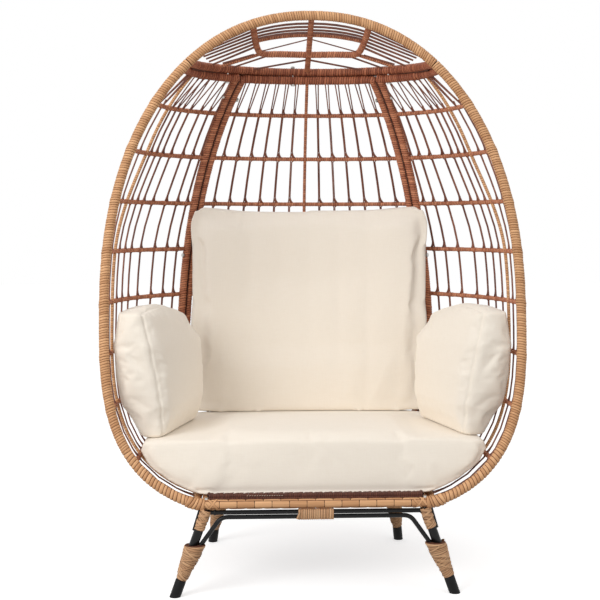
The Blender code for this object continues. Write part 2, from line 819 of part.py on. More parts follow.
def seat_cushion():
    """Thick pad whose sides follow the shell outwards as they rise."""
    sections = []
    for share, width_share in SEAT_CUSHION_SECTIONS:
        z = deck_top() + SEAT_CUSHION_THICKNESS * share
        width = half_width(z) * width_share
        front = SEAT_CUSHION_FRONT + rim_depth(z)
        reach = shell_depth(z) - SEAT_CUSHION_BACK_INSET - SEAT_CUSHION_FRONT - SEAT_CUSHION_CORNER
        power = 2.0 / plan_power(z)
        right = [Vector((width - SEAT_CUSHION_CORNER, front, z))]
        for turn in spaced(math.pi / 2, 0.0, 9):
            y = front + SEAT_CUSHION_CORNER + reach * math.cos(turn) ** power
            right.append(Vector((width * math.sin(turn) ** power, y, z)))
        sections.append(right + mirrored(right[:-1])[::-1])
    return loft(sections)


def back_cushion():
    """Slab bent to the back of the shell."""
    low, high = seat_cushion_top() + GAP, BACK_CUSHION_TOP_Z
    sections = []
    for across in spaced(-1.0, 1.0, 9):
        x = across * HALF_WIDTH * BACK_CUSHION_WIDTH_SHARE
        outermost = abs(across) == 1.0
        thick = BACK_CUSHION_THICKNESS * (BACK_CUSHION_SIDE_SHARE if outermost else 1.0)
        lift = BACK_CUSHION_SIDE_LIFT if outermost else 0.0
        front, back = [], []
        for share in spaced(0.0, 1.0, 4):
            z = low + lift + (high - low - 2 * lift) * share
            depth = shell(z, sweep_at(z, x / half_width(z))).y - BACK_CUSHION_INSET
            pinch = BACK_CUSHION_PINCH if share in (0.0, 1.0) else 0.0
            middle = depth - BACK_CUSHION_THICKNESS / 2
            back.append(Vector((x, middle + thick / 2 - pinch, z)))
            front.append(Vector((x, middle - thick / 2 + pinch, z)))
        sections.append(front + back[::-1])
    return loft(sections)


def arm_cushion():
    """Right arm: upright box that stands on the seat and leans out with the shell."""
    low, high = seat_cushion_top() + GAP, ARM_CUSHION_TOP_Z
    along = Vector((-math.sin(ARM_CUSHION_TURN), math.cos(ARM_CUSHION_TURN), 0.0))
    inward = Vector((-along.y, along.x, 0.0))
    sections = []
    for share in spaced(0.0, 1.0, 5):
        z = low + (high - low) * share
        soft = ARM_CUSHION_SOFTNESS if share in (0.0, 1.0) else 0.0
        corner = Vector((half_width(z) - ARM_CUSHION_INSET, ARM_CUSHION_FRONT, z))
        sections.append([
            corner + along * run + inward * (side * ARM_CUSHION_THICKNESS)
            for run, side in arm_outline(soft)
        ])
    return loft(sections)


def arm_outline(soft):
    """(run, side) corners of an arm cushion's section, drawn in by a soft margin."""
    near, far = soft / ARM_CUSHION_THICKNESS, 1.0 - soft / ARM_CUSHION_THICKNESS
    start, end = soft, ARM_CUSHION_LENGTH - soft
    bevel, cut = ARM_CUSHION_CORNER / ARM_CUSHION_THICKNESS, ARM_CUSHION_CORNER
    return (
        (start, near + bevel), (start, far - bevel), (start + cut, far), (end - cut, far),
        (end, far - bevel), (end, near + bevel), (end - cut, near), (start + cut, near),
    )


# ---- Assembly ---------------------------------------------------------------


def clear_scene():
    for old in list(bpy.data.objects):
        bpy.data.objects.remove(old)


def both_sides(name, mesh, finish):
    """The right piece and its reflection on the left."""
    node(f"{name}_left", flipped(mesh), finish)
    node(f"{name}_right", mesh, finish)


def add_panels(wicker):
    node("roof_panel", roof_panel(), wicker)
    node("back_panel", back_panel(), wicker)
    both_sides("side_panel", side_panel(), wicker)


def add_seat(wicker, weave):
    node("seat_frame", seat_frame(), wicker)
    node("seat_deck", seat_deck(), weave)


def add_legs(steel, rubber, binding):
    splays = (FRONT_LEG_SPLAY, REAR_LEG_SPLAY)
    for end, top, splay, bolt_place in zip(("front", "rear"), leg_tops(), splays, leg_bolts()):
        line = leg_line(top, splay)
        node(f"{end}_leg_frame", leg_frame(line, bolt_place), steel)
        node(f"{end}_bar_binding", bar_wrap(line), binding)
        both_sides(f"{end}_foot_cap", foot_cap(line), rubber)
        lower = sleeve(line, LOWER_WRAP_Z, LOWER_WRAP_RADII, LOWER_WRAP_SHIFT)
        upper = sleeve(line, UPPER_WRAP_Z, (UPPER_WRAP_RADIUS, UPPER_WRAP_RADIUS), 0.0)
        both_sides(f"{end}_lower_binding", lower, binding)
        both_sides(f"{end}_upper_binding", upper, binding)


def add_cushions(cloth):
    node("seat_cushion", seat_cushion(), cloth, 40.0)
    node("back_cushion", back_cushion(), cloth, 40.0)
    both_sides("arm_cushion", arm_cushion(), cloth)


def add_bolts(steel):
    for place, name in zip(back_bolts(), ("top", "middle", "low")):
        both_sides(f"back_bolt_{name}", bolt(*place, TUBE_RADIUS, TUBE_RADIUS), steel)
    for place, name in zip(roof_bolts(), ("left", "middle", "right")):
        node(f"roof_bolt_{name}", bolt(*place, SEAM_TUBE_RADIUS + GAP, SEAM_TUBE_RADIUS), steel)
    for place, name in zip(seat_bolts(), ("front", "rear")):
        both_sides(f"seat_bolt_{name}", bolt(*place, TUBE_RADIUS, SEAT_TUBE_RADIUS), steel)
    for place, name in zip(leg_bolts(), ("front", "rear")):
        both_sides(f"leg_bolt_{name}", screw(*place, SEAT_TUBE_RADIUS), steel)


def centre_depth():
    """Moves the root so that the chair's depth is centred on the origin."""
    bpy.context.view_layer.update()
    depths = []
    for made in bpy.data.objects["egg_chair"].children:
        depths += [corner[1] for corner in made.bound_box]
    bpy.data.objects["egg_chair"].location.y = -(min(depths) + max(depths)) / 2


def main():
    clear_scene()
    root = bpy.data.objects.new("egg_chair", None)
    bpy.context.scene.collection.objects.link(root)
    wicker = material("wicker", (0.56, 0.31, 0.15), 0.55)
    binding = material("pale_wicker", (0.64, 0.42, 0.22), 0.55)
    weave = material("dark_weave", (0.10, 0.045, 0.025), 0.6)
    steel = material("black_steel", (0.012, 0.012, 0.013), 0.35, 0.6)
    rubber = material("black_rubber", (0.015, 0.015, 0.015), 0.75)
    cloth = material("cream_fabric", (0.88, 0.80, 0.70), 0.9)
    add_panels(wicker)
    add_seat(wicker, weave)
    add_legs(steel, rubber, binding)
    add_cushions(cloth)
    add_bolts(steel)
    centre_depth()


if __name__ == "__main__":
    main()
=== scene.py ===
"""Egg chair with a woven cage: wound tubes, twin strands, black legs and stuffed cushions.

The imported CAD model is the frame.  Metres, +Z up, the opening faces -Y, left and right are the
viewer's.  The woven panels, bindings, legs and cushions are dressed with pieces of their own.
"""

import logging
import math
from contextlib import contextmanager
from dataclasses import dataclass, field
from enum import Enum
from functools import lru_cache
from typing import Callable, Iterator, Sequence

import bpy
import numpy as np
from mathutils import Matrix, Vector
from mathutils.kdtree import KDTree


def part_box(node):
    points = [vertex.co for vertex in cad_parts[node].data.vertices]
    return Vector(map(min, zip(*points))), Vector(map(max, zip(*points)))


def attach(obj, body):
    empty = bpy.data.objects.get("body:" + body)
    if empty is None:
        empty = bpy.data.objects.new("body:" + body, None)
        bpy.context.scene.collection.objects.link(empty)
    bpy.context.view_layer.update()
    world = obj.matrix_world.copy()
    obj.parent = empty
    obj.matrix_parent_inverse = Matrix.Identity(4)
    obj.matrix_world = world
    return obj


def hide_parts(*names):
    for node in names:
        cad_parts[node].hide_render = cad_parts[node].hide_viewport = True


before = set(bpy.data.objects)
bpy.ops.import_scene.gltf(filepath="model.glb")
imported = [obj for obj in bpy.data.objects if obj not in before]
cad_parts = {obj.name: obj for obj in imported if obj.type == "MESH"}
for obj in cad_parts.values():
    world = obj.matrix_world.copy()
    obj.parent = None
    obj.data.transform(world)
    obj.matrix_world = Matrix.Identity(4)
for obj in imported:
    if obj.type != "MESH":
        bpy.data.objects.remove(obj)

LOG = logging.getLogger("egg_chair")
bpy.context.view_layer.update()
Path = list[Vector]
Place = tuple[float, float, float]

# How far a foot stands outwards from its leg's top, and how far to the front or to the rear.
FRONT_SPLAY = (0.0805, 0.008)
REAR_SPLAY = (0.0299, 0.0750)
# Where the rear legs meet the seat tube, as a share of its depth.
REAR_LEG_SHARE = 0.885


# ---- Shape of the shell ------------------------------------------------------


def superellipse(share: float, power: float) -> float:
    """Half extent, from 1 to 0, at a share of the height from 0 to 1."""
    return max(0.0, 1.0 - abs(share) ** power) ** (1.0 / power)


def spaced(start: float, end: float, count: int) -> list[float]:
    """Evenly spaced values from start to end, both included."""
    return [start + (end - start) * i / (count - 1) for i in range(count)]


def eased(value: float | np.ndarray, low: float, high: float) -> float | np.ndarray:
    """Smooth step from 0 at low to 1 at high."""
    share = np.clip((value - low) / (high - low), 0.0, 1.0)
    return share * share * (3.0 - 2.0 * share)


def mirrored(points: Sequence[Vector]) -> Path:
    """The points reflected to the chair's other side."""
    return [Vector((-p.x, p.y, p.z)) for p in points]


@dataclass(frozen=True)
class ShellForm:
    """The egg's surface: an outline of two superellipse halves with a rounded depth behind it."""

    depth_shift: float = 0.317039
    half_span: float = 0.5368
    widest_z: float = 0.737
    top_z: float = 1.490
    upper_power: float = 2.18
    lower_drop: float = 0.5263
    lower_power: float = 3.2
    lean: float = math.radians(9.5)
    deepest: float = 0.584
    deepest_z: float = 0.60
    upper_depth_power: float = 1.7
    lower_depth_drop: float = 0.76
    round_plan: float = 2.2
    seat_plan: float = 6.0
    base_z: float = 0.238
    cap_seam_z: float = 1.3735
    panel_top_z: float = 1.3500
    back_share_top: float = 0.575
    back_share_base: float = 0.73
    tube_pitch: float = 0.0225

    def half_width(self, z: float) -> float:
        """Half the opening's width at a height."""
        if z >= self.widest_z:
            share = (z - self.widest_z) / (self.top_z - self.widest_z)
            return self.half_span * superellipse(share, self.upper_power)
        return self.half_span * superellipse((self.widest_z - z) / self.lower_drop, self.lower_power)

    def rim_depth(self, z: float) -> float:
        """Depth of the opening's plane, which leans back from the base."""
        return (z - self.base_z) * math.tan(self.lean) - self.depth_shift

    def shell_depth(self, z: float) -> float:
        """Depth of the shell behind the opening's plane."""
        if z >= self.deepest_z:
            share = (z - self.deepest_z) / (self.top_z - self.deepest_z)
            return self.deepest * superellipse(share, self.upper_depth_power)
        return self.deepest * superellipse((self.deepest_z - z) / self.lower_depth_drop, 2.0)

    def plan_power(self, z: float) -> float:
        """Squareness of the plan, which grows towards the seat."""
        below = max(0.0, (self.widest_z - z) / (self.widest_z - self.base_z))
        return self.round_plan + (self.seat_plan - self.round_plan) * below**2

    def point(self, z: float, sweep: float) -> Vector:
        """Point on the shell: sweep 0 is the middle of the back, +-pi/2 is the rim."""
        power = 2.0 / self.plan_power(z)
        across = math.copysign(abs(math.sin(sweep)) ** power, sweep)
        back = max(0.0, math.cos(sweep)) ** power
        return Vector((self.half_width(z) * across, self.rim_depth(z) + self.shell_depth(z) * back, z))

    def sweep_at(self, z: float, share: float) -> float:
        """Sweep where the plan reaches a share of its half width."""
        return math.copysign(math.asin(abs(share) ** (self.plan_power(z) / 2.0)), share)

    def joint_sweep(self, z: float) -> float:
        """Sweep of the line where the side and the back panels meet."""
        down = (self.panel_top_z - z) / (self.panel_top_z - self.base_z)
        return self.sweep_at(z, self.back_share_top + (self.back_share_base - self.back_share_top) * down)

    def beside_joint(self, z: float, side: int) -> Vector:
        """Axis of a joint tube: side +1 towards the rim, -1 towards the back."""
        step = 0.002
        middle = self.joint_sweep(z)
        across = self.point(z, middle + step) - self.point(z, middle - step)
        above, below = z + step, z - step
        along = self.point(above, self.joint_sweep(above)) - self.point(below, self.joint_sweep(below))
        across -= across.project(along)
        return self.point(z, middle) + across.normalized() * (side * self.tube_pitch / 2)

    def side_point(self, z: float, share: float) -> Vector:
        """Point of the right side panel: share 0 is the rim and 1 the joint."""
        return along(side_arc(self, round(z, 6)), share)

    def back_point(self, z: float, share: float) -> Vector:
        """Point of the back panel: share -1 and 1 are its joints."""
        edge = self.point(z, self.joint_sweep(z)).x
        return self.point(z, self.sweep_at(z, share * edge / self.half_width(z)))

    def inward(self, place: Vector) -> Vector:
        """Direction from a place on the shell towards the sitter."""
        step = 0.003
        level = self.point(place.z, self.sweep_near(place, 0.0) + step)
        level -= self.point(place.z, self.sweep_near(place, 0.0) - step)
        rise = self.point(place.z + step, self.sweep_near(place, step))
        rise -= self.point(place.z - step, self.sweep_near(place, -step))
        normal = level.cross(rise).normalized()
        centre = Vector((0.0, self.rim_depth(place.z), place.z))
        return -normal if normal.dot(place - centre) > 0 else normal

    def sweep_near(self, place: Vector, lift: float) -> float:
        """Sweep of the shell's point above or below a place, at the same share of its width."""
        share = max(-0.9999, min(0.9999, place.x / self.half_width(place.z)))
        return self.sweep_at(place.z + lift, share)

    def roof_seam(self, sweep: float) -> Vector:
        """Point of the roof's rear tube, right above the panels' top tubes, which it nears at the rim."""
        place = self.point(self.cap_seam_z, sweep)
        share = (place.y - self.rim_depth(self.cap_seam_z)) / self.shell_depth(self.cap_seam_z)
        place.y = self.rim_depth(self.cap_seam_z) + self.shell_depth(self.panel_top_z) * share
        near_rim = abs(math.sin(sweep)) ** 7
        return place + Vector((math.copysign(0.0075 * near_rim, sweep), 0.0, -0.0070 * near_rim))

    def roof_point(self, across: float, back: float) -> Vector:
        """Point of the roof: across runs from -1 to 1, back from the rim to the rear tube."""
        seam = self.roof_seam(across * math.pi / 2)
        share = min(1.0, abs(seam.x) / self.half_width(self.cap_seam_z))
        z = self.cap_seam_z + (self.top_z - self.cap_seam_z) * superellipse(share, self.upper_power)
        return Vector((seam.x, self.rim_depth(z), z)).lerp(seam, back)

    def upper_heights(self, low: float, high: float) -> list[float]:
        """Heights of the rim above its widest point, closer together where it curves."""
        rise = self.top_z - self.widest_z
        ends = [math.asin(((z - self.widest_z) / rise) ** (self.upper_power / 2)) for z in (low, high)]
        return [self.widest_z + rise * math.sin(turn) ** (2 / self.upper_power) for turn in spaced(*ends, 22)]

    def roof_across(self, x: float) -> float:
        """The roof's across value at a distance from the middle."""
        return self.sweep_at(self.cap_seam_z, x / self.half_width(self.cap_seam_z)) / (math.pi / 2)


@lru_cache(maxsize=None)
def side_arc(form: ShellForm, z: float) -> tuple[Vector, ...]:
    """Fine path round the shell at one height, from the right rim to the joint."""
    return tuple(form.point(z, a) for a in spaced(math.pi / 2, form.joint_sweep(z), 60))


def along(path: Sequence[Vector], share: float) -> Vector:
    """Point at a share of a path's length.

    Args:
        path: The corners of the path.
        share: From 0 at its start to 1 at its end.

    Returns:
        The point on the path.
    """
    lengths = [(end - start).length for start, end in zip(path, path[1:])]
    left = share * sum(lengths)
    for start, end, length in zip(path, path[1:], lengths):
        if left <= length:
            return start.lerp(end, left / length if length else 0.0)
        left -= length
    return path[-1].copy()


def path_length(path: Sequence[Vector]) -> float:
    """Length of a path."""
    return sum((end - start).length for start, end in zip(path, path[1:]))


def resampled(path: Sequence[Vector], step: float) -> Path:
    """The path as a smooth run of points that lie about a step apart."""
    spans = np.array([0.0, *[(b - a).length for a, b in zip(path, path[1:])]]).cumsum()
    count = max(3, int(round(spans[-1] / step)) + 1)
    corners = np.array([tuple(p) for p in path])
    if len(path) < 3:
        even = np.linspace(0.0, spans[-1], count)
        return [Vector(tuple(np.interp(s, spans, corners[:, i]) for i in range(3))) for s in even]
    slopes = np.gradient(corners, spans, axis=0)
    places = []
    for s in np.linspace(0.0, spans[-1], count):
        i = min(len(spans) - 2, int(np.searchsorted(spans, s, side="right")) - 1)
        width = spans[i + 1] - spans[i]
        t = (s - spans[i]) / width
        blend = ((2 * t**3 - 3 * t**2 + 1), (t**3 - 2 * t**2 + t), (3 * t**2 - 2 * t**3), (t**3 - t**2))
        place = blend[0] * corners[i] + blend[1] * width * slopes[i]
        place += blend[2] * corners[i + 1] + blend[3] * width * slopes[i + 1]
        places.append(Vector(tuple(place)))
    return places


# ---- Modelling ---------------------------------------------------------------


def deselect() -> None:
    """Leaves edit mode and selects nothing."""
    if bpy.context.object and bpy.context.object.mode != "OBJECT":
        bpy.ops.object.mode_set(mode="OBJECT")
    bpy.ops.object.select_all(action="DESELECT")


def choose(*objects: bpy.types.Object) -> bpy.types.Object:
    """Selects only these objects and makes the first one active."""
    deselect()
    for item in objects:
        item.select_set(True)
    bpy.context.view_layer.objects.active = objects[0]
    return objects[0]


@contextmanager
def editing(piece: bpy.types.Object) -> Iterator[None]:
    """Edit mode on a piece, with all of it selected."""
    choose(piece)
    bpy.ops.object.mode_set(mode="EDIT")
    bpy.ops.mesh.select_all(action="SELECT")
    yield
    bpy.ops.object.mode_set(mode="OBJECT")


def new_object(name: str, data: bpy.types.ID | None) -> bpy.types.Object:
    """New object in the scene."""
    made = bpy.data.objects.new(name, data)
    bpy.context.scene.collection.objects.link(made)
    return made


def apply_all(piece: bpy.types.Object) -> None:
    """Applies every modifier of a piece, from the top down."""
    choose(piece)
    for modifier in list(piece.modifiers):
        bpy.ops.object.modifier_apply(modifier=modifier.name)


def joined(name: str, pieces: Sequence[bpy.types.Object]) -> bpy.types.Object:
    """Joins pieces into one, closes their open ends and turns their faces outwards.

    Args:
        name: Name of the joined piece.
        pieces: Mesh objects, at the origin.

    Returns:
        The joined piece.
    """
    piece = choose(*pieces)
    if len(pieces) > 1:
        bpy.ops.object.join()
    piece.name = piece.data.name = name
    with editing(piece):
        bpy.ops.mesh.fill_holes(sides=0)
        bpy.ops.mesh.select_all(action="SELECT")
        bpy.ops.mesh.normals_make_consistent(inside=False)
    return piece


def smooth(piece: bpy.types.Object, degrees: float) -> None:
    """Shades a piece smooth, with sharp edges past an angle."""
    choose(piece)
    bpy.ops.object.shade_smooth_by_angle(angle=math.radians(degrees))


def new_curve(name: str, paths: Sequence[Sequence[Vector]]) -> bpy.types.Object:
    """Curve object with one spline through the points of each path."""
    curve = bpy.data.curves.new(name, "CURVE")
    curve.dimensions = "3D"
    for path in paths:
        spline = curve.splines.new("POLY")
        spline.points.add(len(path) - 1)
        for knot, place in zip(spline.points, path):
            knot.co = (*place, 1.0)
        spline.use_smooth = True
    return new_object(name, curve)


@dataclass(frozen=True)
class Winding:
    """Flat strip wound round a tube, side by side, turn after turn.

    Attributes:
        radius: Outer radius of the wound tube.
        pitch: Width of one turn.
        sides: Corners of the section.
        groove: Depth of the groove between two turns.
        uneven: Share of the pitch by which the turns wander.
        slant: Share of the radius by which a turn leans along the tube.
    """

    radius: float
    pitch: float
    sides: int = 12
    groove: float = 0.0007
    uneven: float = 0.14
    slant: float = 0.16

    def along(self, path: Sequence[Vector], seed: int, knots: Sequence[float] = ()) -> bpy.types.Object:
        """Winds the strip along a path.

        Args:
            path: Axis of the tube.
            seed: Number of the tube, which sets its unevenness and its tone.
            knots: Shares of the length where the strip is wound over itself.

        Returns:
            The wound tube, with its turns counted along U.
        """
        axis = resampled(path, max(0.008, self.pitch))
        length = path_length(axis)
        count = max(2, round(length / self.pitch))
        piece = new_object("wound", one_turn(self.radius, self.pitch, self.sides, self.groove).copy())
        rows = piece.modifiers.new("rows", "ARRAY")
        rows.count = count
        rows.use_relative_offset = False
        rows.use_constant_offset = True
        rows.constant_offset_displace = (self.pitch, 0.0, 0.0)
        rows.use_merge_vertices = True
        rows.merge_threshold = 0.00001
        rows.offset_u = 1.0
        apply_all(piece)
        self.unsettle(piece.data, count, length, seed, knots)
        rail = new_curve("guide", [axis])
        bend = piece.modifiers.new("bend", "CURVE")
        bend.object = rail
        apply_all(piece)
        bpy.data.objects.remove(rail)
        return piece

    def unsettle(
        self, mesh: bpy.types.Mesh, count: int, length: float, seed: int, knots: Sequence[float]
    ) -> None:
        """Lets the turns of a straight tube wander, lean and swell as by hand.

        Args:
            mesh: The straight tube, along +X from the origin.
            count: Number of its turns.
            length: Length that the tube is stretched to.
            seed: Number of the tube.
            knots: Shares of the length where the tube swells.
        """
        rng = np.random.default_rng(seed)
        places = np.empty(len(mesh.vertices) * 3)
        mesh.vertices.foreach_get("co", places)
        places = places.reshape(-1, 3)
        turns = places[:, 0] / self.pitch
        index = np.clip(np.floor(turns + 1e-4).astype(int), 0, count - 1)
        edges = np.arange(count + 1) + rng.uniform(-self.uneven, self.uneven, count + 1)
        edges[0], edges[-1] = 0.0, count
        share = turns - index
        swell = 1.0 + rng.uniform(-0.02, 0.03, count)
        for knot in knots:
            swell += 0.09 * np.exp(-(((np.arange(count) + 0.5 - knot * count) / 1.3) ** 2))
        body = np.clip(1.0 - np.abs(share - 0.5) * 2.0, 0.0, 1.0) > 0.05
        places[:, 1:] *= np.where(body, swell[index], 1.0)[:, None]
        lean = places[:, 2] * self.slant * np.clip(np.minimum(turns, count - turns), 0.0, 1.0)
        places[:, 0] = (edges[index] + share * (edges[index + 1] - edges[index])) * (length / count) + lean
        mesh.vertices.foreach_set("co", places.reshape(-1))
        layer = mesh.uv_layers[0]
        uv = np.empty(len(layer.data) * 2)
        layer.data.foreach_get("uv", uv)
        uv[1::2] += seed * 2.0
        layer.data.foreach_set("uv", uv)


@lru_cache(maxsize=None)
def one_turn(radius: float, pitch: float, sides: int, groove: float) -> bpy.types.Mesh:
    """Models one turn along +X, once per size: a circle extruded over its crown, with U along the tube.

    Args:
        radius: Outer radius.
        pitch: Width of the turn.
        sides: Corners of the section.
        groove: Depth of the groove at either side.

    Returns:
        The mesh, open at both ends.
    """
    deselect()
    low = size = radius - groove
    upright = (0.0, math.pi / 2, 0.0)
    bpy.ops.mesh.primitive_circle_add(vertices=sides, radius=low, rotation=upright, calc_uvs=False)
    bpy.ops.object.transform_apply(location=True, rotation=True, scale=True)
    ring = bpy.context.object
    with editing(ring):
        for step, wanted in ((0.16, radius), (0.34, radius + groove * 0.3), (0.34, radius), (0.16, low)):
            bpy.ops.mesh.extrude_region_move(TRANSFORM_OT_translate={"value": (step * pitch, 0.0, 0.0)})
            grow = wanted / size
            bpy.ops.transform.resize(value=(1.0, grow, grow), center_override=(0.0, 0.0, 0.0))
            size = wanted
    mesh = ring.data
    layer = mesh.uv_layers.new(name="UVMap")
    for face in mesh.polygons:
        shares = [math.atan2(mesh.vertices[v].co.z, mesh.vertices[v].co.y) / math.tau for v in face.vertices]
        if max(shares) - min(shares) > 0.5:
            shares = [share + 1.0 if share < 0 else share for share in shares]
        for loop, vertex, share in zip(face.loop_indices, face.vertices, shares):
            layer.data[loop].uv = (mesh.vertices[vertex].co.x / pitch, 0.5 + share)
    bpy.data.objects.remove(ring)
    return mesh


def strands(name: str, paths: Sequence[Path], radius: float, corners: int = 1) -> bpy.types.Object:
    """Thin round strands along paths, as one mesh.

    Args:
        name: Name of the mesh object.
        paths: Axis of each strand.
        radius: Radius of each strand.
        corners: Bevel resolution of the section.

    Returns:
        The mesh object.
    """
    piece = choose(new_curve(name, paths))
    piece.data.bevel_depth = radius
    piece.data.bevel_resolution = corners
    piece.data.use_fill_caps = True
    bpy.ops.object.convert(target="MESH")
    return bpy.context.object


# ---- Materials ---------------------------------------------------------------


class Nodes:
    """Node tree that is filled step by step: adds nodes, sets values and links sockets."""

    def __init__(self, tree: bpy.types.NodeTree) -> None:
        """Keeps the tree that the nodes go into."""
        self.tree = tree

    def add(self, kind: str, **values: object) -> bpy.types.Node:
        """Adds a node.

        Args:
            kind: The node's type.
            values: Properties by name, or inputs as in_NAME with underscores for spaces.

        Returns:
            The new node.
        """
        made = self.tree.nodes.new(kind)
        for key, value in values.items():
            if key.startswith("in_"):
                self.fill(made, **{key[3:]: value})
            else:
                setattr(made, key, value)
        return made

    def fill(self, node: bpy.types.Node, **values: object) -> None:
        """Feeds a node's inputs by name, with underscores for spaces."""
        for key, value in values.items():
            self.feed(node.inputs[key.replace("_", " ")], value)

    def feed(self, target: bpy.types.NodeSocket, value: object) -> None:
        """Links an output to a socket, or sets the socket's own value."""
        if isinstance(value, bpy.types.NodeSocket):
            self.tree.links.new(value, target)
        elif isinstance(value, tuple) and len(value) == 3 and target.type == "RGBA":
            target.default_value = (*value, 1.0)
        else:
            target.default_value = value

    def math(self, operation: str, *values: object) -> bpy.types.NodeSocket:
        """Result of a Math node."""
        made = self.add("ShaderNodeMath", operation=operation)
        for target, value in zip(made.inputs, values):
            self.feed(target, value)
        return made.outputs[0]

    def ramp(self, *values: object) -> bpy.types.NodeSocket:
        """Value mapped smoothly from the range low, high, to 0 and 1 or to a start and an end."""
        made = self.add("ShaderNodeMapRange", interpolation_type="SMOOTHSTEP")
        for target, given in zip(made.inputs, values):
            self.feed(target, given)
        return made.outputs[0]

    def mix(self, factor: object, first: object, second: object, blend: str = "MIX") -> bpy.types.NodeSocket:
        """Colour mixed from two."""
        made = self.add("ShaderNodeMix", data_type="RGBA", blend_type=blend)
        self.feed(made.inputs[0], factor)
        self.feed(made.inputs[6], first)
        self.feed(made.inputs[7], second)
        return made.outputs[2]

    def noise(
        self, vector: object, scale: float, detail: float = 3.0, roughness: float = 0.5
    ) -> bpy.types.NodeSocket:
        """Strength of a noise pattern."""
        made = self.add("ShaderNodeTexNoise", in_Vector=vector, in_Scale=scale, in_Detail=detail)
        self.fill(made, Roughness=roughness)
        return made.outputs[0]

    def stretch(self, vector: object, scale: Place) -> bpy.types.NodeSocket:
        """Coordinates scaled along each axis."""
        return self.add("ShaderNodeMapping", in_Vector=vector, in_Scale=scale).outputs[0]

    def bump(self, height: object, strength: float, distance: float) -> bpy.types.Node:
        """Bump node for a height."""
        return self.add("ShaderNodeBump", in_Height=height, in_Strength=strength, in_Distance=distance)

    def weather(
        self, shader: bpy.types.Node, place: object, colour: object, amount: float, roughness: float
    ) -> bpy.types.NodeSocket:
        """Gives a shader its colour through the weathering group.

        Args:
            shader: The Principled node.
            place: Object coordinates.
            colour: Colour or output before weathering.
            amount: Strength of the weathering.
            roughness: Mean roughness.

        Returns:
            The roughness, shifted by the weathering.
        """
        aged = self.add("ShaderNodeGroup", node_tree=weathering_group(), in_Place=place, in_Color=colour)
        self.fill(aged, Amount=amount)
        self.fill(shader, Base_Color=aged.outputs["Color"])
        return self.math("ADD", aged.outputs["Roughness shift"], roughness)


def new_group(
    name: str, inputs: Sequence[tuple[str, str, object]], outputs: Sequence[tuple[str, str]]
) -> tuple:
    """Empty shader node group.

    Args:
        name: The group's name.
        inputs: Name, kind (Color, Float or Vector) and default of each input.
        outputs: Name and kind of each output.

    Returns:
        The group, its Nodes helper, its input node and its output node.
    """
    group = bpy.data.node_groups.new(name, "ShaderNodeTree")
    for label, kind, value in inputs:
        made = group.interface.new_socket(label, in_out="INPUT", socket_type=f"NodeSocket{kind}")
        if value is not None:
            made.default_value = (*value, 1.0) if kind == "Color" else value
    for label, kind in outputs:
        group.interface.new_socket(label, in_out="OUTPUT", socket_type=f"NodeSocket{kind}")
    nodes = Nodes(group)
    return group, nodes, nodes.add("NodeGroupInput"), nodes.add("NodeGroupOutput")


@lru_cache(maxsize=None)
def weathering_group() -> bpy.types.NodeTree:
    """Slow change of tone over the chair: outputs a colour and a roughness shift."""
    group, nodes, given, result = new_group(
        "Weathering",
        [("Place", "Vector", None), ("Color", "Color", (0.5, 0.5, 0.5)), ("Amount", "Float", 0.2)],
        [("Color", "Color"), ("Roughness shift", "Float")],
    )
    broad = nodes.noise(given.outputs["Place"], 7.0, 4.0)
    fine = nodes.noise(given.outputs["Place"], 60.0, 3.0)
    swing = nodes.math("ADD", nodes.math("MULTIPLY", broad, 0.7), nodes.math("MULTIPLY", fine, 0.3))
    shade = nodes.ramp(swing, 0.25, 0.75, 1.0, 0.0)
    strength = nodes.math("MULTIPLY", shade, given.outputs["Amount"])
    darker = nodes.mix(strength, given.outputs["Color"], (0.30, 0.20, 0.14), "MULTIPLY")
    nodes.fill(result, Color=darker, Roughness_shift=nodes.math("MULTIPLY_ADD", swing, 0.16, -0.08))
    return group


